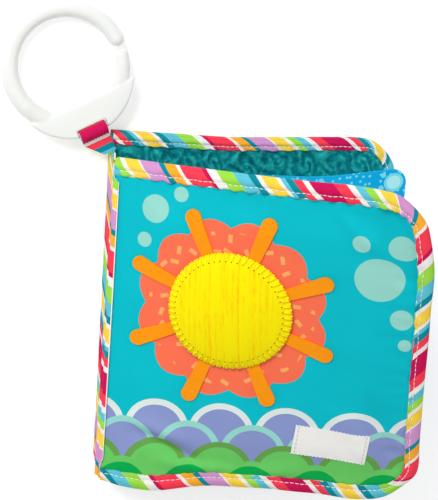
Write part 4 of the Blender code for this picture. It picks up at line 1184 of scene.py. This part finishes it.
def strip_band(name, path_of, joint, nodes):
    """One length of the strip, bent between two bodies; joint is 1 where its end meets the other length."""
    sections, layout = [], []
    for share in np.linspace(0.0, 1.0, STRIP_SECTIONS):
        path = evened(np.asarray(path_of(share)), STRIP_POINTS, STRIP_EASING)
        run = np.gradient(path, axis=0)
        normal = np.stack([-run[:, 2], 0.0 * run[:, 0], run[:, 0]], axis=1)
        normal /= np.linalg.norm(normal, axis=1)[:, None]
        swell = 0.12 * MM * unevenness(share * LEAF_HEIGHT, 0.0, 14.0 * MM, seed=51)
        left, right = path + normal * (STRIP_HALF + swell), path - normal * (STRIP_HALF - swell)
        sections.append(np.concatenate([left, right[::-1]]))
        across = way_along(left)
        width = float(across[-1])
        across = STRIP_LEAN_SHARE * (np.concatenate([across, across[::-1]]) - joint * width)
        along = STRIP_TAPE + (1.0 - share) * LEAF_HEIGHT
        layout.append(np.stack([along + 0.0 * across, across], axis=1))
    strip = band(name, sections, layout, striped_tape())
    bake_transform(strip)
    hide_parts(*nodes)


class BOOK_OT_spine_strip(Operator):
    """Makes the striped strip that joins the leaves, in two lengths, and the thread on its edge."""
    bl_idname = "cloth_book.spine_strip"
    bl_label = "Spine strip"

    def execute(self, context):
        def lower(share):
            low, middle, _ = strip_line(share)
            return low + middle[:1]

        def upper(share):
            _, middle, cover = strip_line(share)
            x, y, z = middle[0]
            return [(x, y, z - 0.4 * MM), *middle, *cover]

        strip_band(
            "spine_strip_low", lower, 1.0,
            ["spine_strip_lower"],
        )
        strip_band(
            "spine_strip_high", upper, 0.0,
            ["spine_strip_middle", "spine_strip_upper"],
        )
        shares, lift = np.linspace(0.01, 0.99, 90), (0.0, 0.0, 0.3 * MM)
        seam = [np.array(strip_line(share)[2][-1]) + lift for share in shares]
        white = sewing_thread("white thread", "thread")
        threads("spine_strip_edging", [seam], EDGING_THREAD, white, "front_cover", "striped_cotton")
        return {"FINISHED"}


# Flower and label

def petal_outline():
    """A flower of felt cut in one piece, whose petals widen from the hub to round ends."""
    foot = PETAL_RADIUS * PETAL_FOOT_SHARE
    end = arc((PETAL_REACH - PETAL_RADIUS, 0.0), PETAL_RADIUS, -math.pi / 2, math.pi / 2, 12)
    outline = []
    for i in range(PETAL_COUNT):
        cos, sin = (turn(PETAL_TURN + 2 * math.pi * i / PETAL_COUNT) for turn in (math.cos, math.sin))
        for a, b in [(PETAL_HUB, -foot), *end, (PETAL_HUB, foot)]:
            outline.append((PATCH_CENTRE[0] + cos * a - sin * b, PATCH_CENTRE[1] + sin * a + cos * b))
    return outline


def ragged_outline(steps=480):
    """The round centre's outline, nipped by its stitches."""
    outline = []
    for i in range(steps):
        a = 2 * math.pi * i / steps
        radius = PATCH_RADIUS * (1.0 + WHIP_NIP * math.sin(WHIP_COUNT * a))
        outline.append((PATCH_CENTRE[0] + radius * math.cos(a), PATCH_CENTRE[1] + radius * math.sin(a)))
    return outline


class BOOK_OT_flower(Operator):
    """Makes the felt flower, its ribbed padded centre and the whip stitches round it."""
    bl_idname = "cloth_book.flower"
    bl_label = "Flower"

    def execute(self, context):
        def on_cloth(lift):
            return lambda u, y: np.maximum(cover_face(u, y), FRONT_EDGE[1]) + lift

        felt = slab(
            "flower_felt", petal_outline(), FELT_CELL, on_cloth(LAID), on_cloth(LAID + FELT), cover_place,
            craft_felt(),
        )
        declare(felt, "front_cover", "orange_felt", "flower_felt")
        patch = slab(
            "flower_patch", ragged_outline(), PATCH_CELL, level(PATCH_SEAT), patch_top, cover_place,
            ribbed_pile(), PATCH_CENTRE,
        )
        declare(patch, "front_cover", "yellow_corduroy", "flower_patch_cloth", "flower_patch_wadding")
        reach, height = np.array(WHIP_PROFILE).T
        runs = []
        for i in range(WHIP_COUNT):
            turn = 2 * math.pi * i / WHIP_COUNT + WHIP_LEAN * (HOLE_RADIUS - reach) / PATCH_RADIUS
            u, y = PATCH_CENTRE[0] + reach * np.cos(turn), PATCH_CENTRE[1] + reach * np.sin(turn)
            base = np.where(reach < PATCH_RADIUS, patch_top(u, y), PATCH_SEAT)
            runs.append(cover_place(u, y, base + height))
        yellow = sewing_thread("yellow thread", "centre")
        threads("flower_stitches", runs, WHIP_THREAD, yellow, "front_cover", "yellow_corduroy")
        return {"FINISHED"}


class BOOK_OT_label(Operator):
    """Makes the bare woven label with its pinked edges and end stitches."""
    bl_idname = "cloth_book.label"
    bl_label = "Label"

    def execute(self, context):
        half_long, half_wide = LABEL_SIZE[0] / 2, LABEL_SIZE[1] / 2
        tooth, stitch, stitch_step = 0.85 * MM, 1.6 * MM, 2.2 * MM
        cos, sin = math.cos(LABEL_TURN), math.sin(LABEL_TURN)

        def turned(u, y):
            return LABEL_CENTRE[0] + cos * u - sin * y, LABEL_CENTRE[1] + sin * u + cos * y

        low = [
            (-half_long + i * tooth, -half_wide + (0.5 * MM if i % 2 else 0.0))
            for i in range(round(LABEL_SIZE[0] / tooth) + 1)
        ]
        outline = [turned(u, y) for u, y in low + [(-u, -y) for u, y in low]]
        label = slab(
            "woven_label", outline, LABEL_CELL, lambda u, y: cover_face(u, y) + LAID,
            lambda u, y: cover_face(u, y) + LAID + LABEL_CLOTH, cover_place, woven_tape(),
        )
        declare(label, "front_cover", "white_woven_tape", "woven_label")
        runs = []
        bow = 0.2 * MM * np.sin(np.linspace(0.0, math.pi, 5))
        for end in (-1.0, 1.0):
            at = -half_wide + 0.8 * MM
            while at < half_wide - stitch:
                u, y = turned(end * (half_long - 1.5 * MM), at + stitch * np.linspace(0.0, 1.0, 5))
                runs.append(cover_place(u, y, cover_face(u, y) + LABEL_CLOTH + LAID + bow))
                at += stitch_step
        grey = sewing_thread("label thread", "label_thread")
        threads("label_stitches", runs, LABEL_THREAD, grey, "front_cover", "white_woven_tape")
        return {"FINISHED"}


# Strap and ring

def strap_axes():
    """The way along the strap's loop, up out of it and across it."""
    heading = Vector((math.cos(STRAP_HEADING), math.sin(STRAP_HEADING), 0.0))
    up = Vector((0.0, 0.0, 1.0))
    along = heading * math.cos(STRAP_RISE) + up * math.sin(STRAP_RISE)
    over = up * math.cos(STRAP_RISE) - heading * math.sin(STRAP_RISE)
    return heading, up, along, over, heading.cross(up)


def strap_path():
    """The band's middle line, softly bent, from the sewn end round the ring's bar and back over it."""
    heading, up, along, over, _ = strap_axes()
    half, nose = STRAP_HALF_GAP, STRAP_BORE_RADIUS + STRAP_CLOTH / 2
    tangent = math.acos((nose - half) / STRAP_LENGTH)
    loop = arc((STRAP_LENGTH, 0.0), nose, tangent - math.pi, math.pi - tangent, 20)
    first, last = STRAP_SEWN
    flat = [(first, -half), (last, -half), *loop, (last, half), (first, half)]
    end = STRAP_FOLD - heading * STRAP_TAIL
    placed = [end - up * half, *(STRAP_FOLD + along * a + over * b for a, b in flat), end + up * half]
    path = np.array([tuple(p) for p in placed])
    for _ in range(2):
        cut = np.stack([0.75 * path[:-1] + 0.25 * path[1:], 0.25 * path[:-1] + 0.75 * path[1:]], axis=1)
        path = np.concatenate([path[:1], cut.reshape(-1, 3), path[-1:]])
    return path


class BOOK_OT_strap(Operator):
    """Makes the strap that is sewn into the spine and loops round the ring's bar, and its zigzag stitches."""
    bl_idname = "cloth_book.strap"
    bl_label = "Strap"

    def execute(self, context):
        heading, _, along, over, across = strap_axes()
        path = strap_path()
        run = np.gradient(path, axis=0)
        run /= np.linalg.norm(run, axis=1)[:, None]
        side = np.array(across)
        way = way_along(path)
        half, edge = STRAP_CLOTH / 2 - 0.05 * MM, 1.0 - 2 * 0.35 * MM / STRAP_WIDTH
        wide = (-1.0, -edge, *np.linspace(-0.8, 0.8, 9), edge, 1.0)
        profile = [(b * STRAP_WIDTH / 2, half if abs(b) < 1.0 else half * 0.4) for b in wide]
        ring = profile + [(b, -t) for b, t in reversed(profile)]
        sections = []
        for p, out in zip(path, np.cross(run, side)):
            sewn = np.clip(-float(np.dot(p - np.array(STRAP_FOLD), np.array(heading))) / STRAP_TAIL, 0.0, 1.0)
            drawn = STRAP_NARROWED * sewn
            sections.append([p + side * (b + drawn * (0.5 - b / STRAP_WIDTH)) + out * t for b, t in ring])
        # The strap's stripes run straight across it
        layout = [[(STRAP_TAPE - STRAP_TAPE_SHARE * (w - way[-1] / 2), 0.0)] * len(ring) for w in way]
        strap = band("strap", sections, layout, striped_tape())
        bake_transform(strap)
        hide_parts("strap_tail", "strap_loop")
        top, wide = STRAP_HALF_GAP + STRAP_CLOTH / 2 + 0.1 * MM, STRAP_WIDTH - 2 * ZIGZAG_IN[1]
        runs = []
        for row in ZIGZAG_ROWS:
            corners = [
                STRAP_FOLD + along * (ZIGZAG_IN[0] + row + j % 2 * ZIGZAG_WIDTH) + over * top
                + across * (j / ZIGZAG_COUNT - 0.5) * wide
                for j in range(ZIGZAG_COUNT + 1)
            ]
            for a, b in zip(corners, corners[1:]):
                line = [a.lerp(b, k / 4) + over * 0.12 * MM * math.sin(math.pi * k / 4) for k in range(5)]
                runs.append([tuple(p) for p in line])
        white = sewing_thread("white thread", "thread")
        threads("strap_stitches", runs, STRAP_THREAD, white, "strap", "striped_cotton")
        return {"FINISHED"}


def ring_frame():
    """X across the ring, Y from its bar to its far side and Z out of its face; it leans on its far side."""
    heading, up, along, _, across = strap_axes()
    bar = STRAP_FOLD + along * STRAP_LENGTH
    lean = math.asin((bar.z - RING_TUBE_RADIUS[1]) / (RING_MID_RADIUS - BAR_Y))
    far = heading * math.cos(lean) - up * math.sin(lean)
    origin = bar - across * SLOT_X - far * BAR_Y
    return Matrix.Translation(origin) @ Matrix((across, far, across.cross(far))).transposed().to_4x4()


def ring_bar(start, end, radii):
    """Rings of points round a bent bar: domed at its free end and flattened towards the crescent."""
    turn = math.copysign(radii[0] / RING_MID_RADIUS, end - start)
    tip = [(start - turn * math.cos(a), math.sin(a)) for a in np.linspace(0.08, math.pi / 2, 8)[:-1]]
    sections = []
    for angle, share in tip + [(angle, 1.0) for angle in np.linspace(start, end, 80)]:
        flat = mix((RING_END_SHARE, 1.0), min(abs(end - angle) / RING_FLATTEN, 1.0))
        radius = share * mix(radii, max((angle - start) / (end - start), 0.0))
        rounds = arc((RING_MID_RADIUS, 0.0), radius, 0.0, 2 * math.pi, 36)[:-1]
        sections.append([(r * math.cos(angle), r * math.sin(angle), z * flat) for r, z in rounds])
    return sections


def slot_bar():
    """Rings of points round the thin bar that the strap's loop holds, along the crescent's rim."""
    sections = []
    reach = SLOT_HALF + 2.0 * MM
    for x in np.linspace(SLOT_X - reach, SLOT_X + reach, 30):
        y = CRESCENT_DROP - math.sqrt(CRESCENT_RADIUS ** 2 - x ** 2) + BAR_HALF
        rounds = arc((0.0, 0.0), 1.0, 0.0, 2 * math.pi, 24)[:-1]
        sections.append([(x, y + BAR_HALF * b, BAR_THICK / 2 * z) for b, z in rounds])
    return sections


def crescent_outline():
    """The crescent between the ring's chord and its rim, cut out where the strap's slot and bar are."""
    wing = math.atan2(WING[1] - CRESCENT_DROP, WING[0])
    rim = arc((0.0, CRESCENT_DROP), CRESCENT_RADIUS, -math.pi - wing, wing, 90)
    left, right = SLOT_X - SLOT_HALF, SLOT_X + SLOT_HALF
    slot_y = BAR_Y + BAR_HALF + SLOT_WIDTH
    cut = [(left, BAR_Y), (left, slot_y), (right, slot_y), (right, BAR_Y)]
    before, after = [p for p in rim if p[0] < left], [p for p in rim if p[0] > right]
    return [*before, *cut, *after, CHORD, (-CHORD[0], CHORD[1])]


def crescent_half(x, y):
    """Half the crescent's thickness: rounded at its edges and a little higher in its middle."""
    rim = CRESCENT_RADIUS - np.hypot(x, y - CRESCENT_DROP)
    slope = (WING[1] - CHORD[1]) / (WING[0] - CHORD[0])
    chord = CHORD[1] + slope * np.maximum(np.abs(x) - CHORD[0], 0.0) - y
    edge = np.maximum(np.minimum(rim, chord), 0.0)
    round_off = 1.0 - np.sqrt(1.0 - (1.0 - np.minimum(edge / CRESCENT_BEVEL, 1.0)) ** 2)
    return CRESCENT_THICK / 2 - CRESCENT_BEVEL * round_off + CRESCENT_CROWN * smooth(0.0, 5.0 * MM, edge)


class BOOK_OT_link_ring(Operator):
    """Makes the moulded link ring: its arm and stub flow into the slotted crescent."""
    bl_idname = "cloth_book.link_ring"
    bl_label = "Link ring"

    def execute(self, context):
        plastic = moulded_plastic()
        parts = [slab(
            "crescent", crescent_outline(), RING_CELL, lambda x, y: -crescent_half(x, y), crescent_half,
            lambda x, y, z: np.stack([x, y, z], axis=-1), plastic,
        )]
        bars = ring_bar(*RING_ARM, RING_TUBE_RADIUS), ring_bar(*RING_STUB, RING_STUB_RADIUS), slot_bar()
        parts += [band("bar", sections, None, plastic) for sections in bars]
        bm = bmesh.new()
        for part in parts:
            bm.from_mesh(part.data)
            bpy.data.objects.remove(part)
        bm.transform(ring_frame())
        joined = bpy.data.meshes.new("ring_moulding")
        bm.to_mesh(joined)
        bm.free()
        ring = bpy.data.objects.new("ring_moulding", joined)
        context.scene.collection.objects.link(ring)
        moulded = ring.modifiers.new("moulded in one", "REMESH")
        moulded.mode, moulded.voxel_size = "VOXEL", RING_VOXEL
        faired = ring.modifiers.new("faired", "SMOOTH")
        faired.factor, faired.iterations = RING_FAIRING
        ring.data = bpy.data.meshes.new_from_object(ring.evaluated_get(context.evaluated_depsgraph_get()))
        ring.modifiers.clear()
        ring.data.materials.clear()
        ring.data.materials.append(plastic)
        ring.data.shade_smooth()
        declare(ring, "ring", "white_plastic", "link_ring")
        return {"FINISHED"}


class BOOK_OT_stage(Operator):
    """Sets the pale floor, the soft light and the camera at the photograph's angle."""
    bl_idname = "cloth_book.stage"
    bl_label = "Stage"

    def execute(self, context):
        scene = context.scene
        back = VIEW_BACK.normalized()
        right = (VIEW_RIGHT - back * VIEW_RIGHT.dot(back)).normalized()
        lens = bpy.data.cameras.new("camera")
        lens.lens = LENS
        lens.sensor_width = 36.0
        lens.shift_x = (PHOTO[0] / 2 - ORIGIN_PIXEL[0]) / PHOTO[1]
        lens.shift_y = (ORIGIN_PIXEL[1] - PHOTO[1] / 2) / PHOTO[1]
        camera = bpy.data.objects.new("camera", lens)
        scene.collection.objects.link(camera)
        turn = Matrix((right, back.cross(right), back)).transposed().to_4x4()
        camera.matrix_world = Matrix.Translation(back * VIEW_DISTANCE) @ turn
        scene.camera = camera
        for name, place, size, power in LIGHTS:
            lamp = bpy.data.lights.new(name, "AREA")
            lamp.size, lamp.energy = size, power
            item = bpy.data.objects.new(name, lamp)
            facing = Vector(place).to_track_quat("Z", "Y").to_matrix().to_4x4()
            item.matrix_world = Matrix.Translation(place) @ facing
            scene.collection.objects.link(item)
        world = bpy.data.worlds.new("studio")
        world.use_nodes = True
        sky = world.node_tree.nodes["Background"]
        sky.inputs["Color"].default_value = (1.0, 1.0, 1.0, 1.0)
        sky.inputs["Strength"].default_value = WORLD_LIGHT
        scene.world = world
        # White paper: matt, with a little glow where the camera or a glossy ray meets it, so it stays white
        material, tree, shader = new_finish("white paper backdrop", roughness=0.9, base_color=colours().floor)
        seen = add(tree, "LightPath").outputs
        direct = add(tree, "Math", [seen["Is Camera Ray"], seen["Is Glossy Ray"]], operation="MAXIMUM")
        glow = add(tree, "Math", [direct, FLOOR_GLOW], operation="MULTIPLY")
        dress(tree, shader, emission_color=(1.0, 1.0, 1.0, 1.0), emission_strength=glow)
        corners = [(x * FLOOR_HALF, y * FLOOR_HALF, FLOOR_Z) for x, y in ((-1, -1), (1, -1), (1, 1), (-1, 1))]
        new_piece("floor", corners, [(0, 1, 2, 3)], None, material)
        scene.view_settings.view_transform = "Standard"
        return {"FINISHED"}


class BOOK_PT_panel(Panel):
    """Lists the pieces of the book, and its sizes and colours."""
    bl_label = "Crinkle cloth book"
    bl_idname = "BOOK_PT_panel"
    bl_space_type = "VIEW_3D"
    bl_region_type = "UI"
    bl_category = "Cloth book"

    def draw(self, context):
        for operator in OPERATORS:
            self.layout.operator(operator.bl_idname)
        for group in (sizes(), colours()):
            for name in group.__annotations__:
                self.layout.prop(group, name)


OPERATORS = (
    BOOK_OT_back_cover,
    BOOK_OT_inner_leaf,
    BOOK_OT_front_cover,
    BOOK_OT_spine_strip,
    BOOK_OT_flower,
    BOOK_OT_label,
    BOOK_OT_strap,
    BOOK_OT_link_ring,
    BOOK_OT_stage,
)
CLASSES = (BookColours, BookSizes, *OPERATORS, BOOK_PT_panel)


def register():
    for cls in CLASSES:
        bpy.utils.register_class(cls)
    bpy.types.Scene.cloth_book_colours = PointerProperty(type=BookColours)
    bpy.types.Scene.cloth_book_sizes = PointerProperty(type=BookSizes)


def unregister():
    del bpy.types.Scene.cloth_book_sizes
    del bpy.types.Scene.cloth_book_colours
    for cls in reversed(CLASSES):
        bpy.utils.unregister_class(cls)


def main():
    register()
    for operator in OPERATORS:
        make = operator.bl_idname.split(".")[1]
        getattr(bpy.ops.cloth_book, make)()


if __name__ == "__main__":
    main()
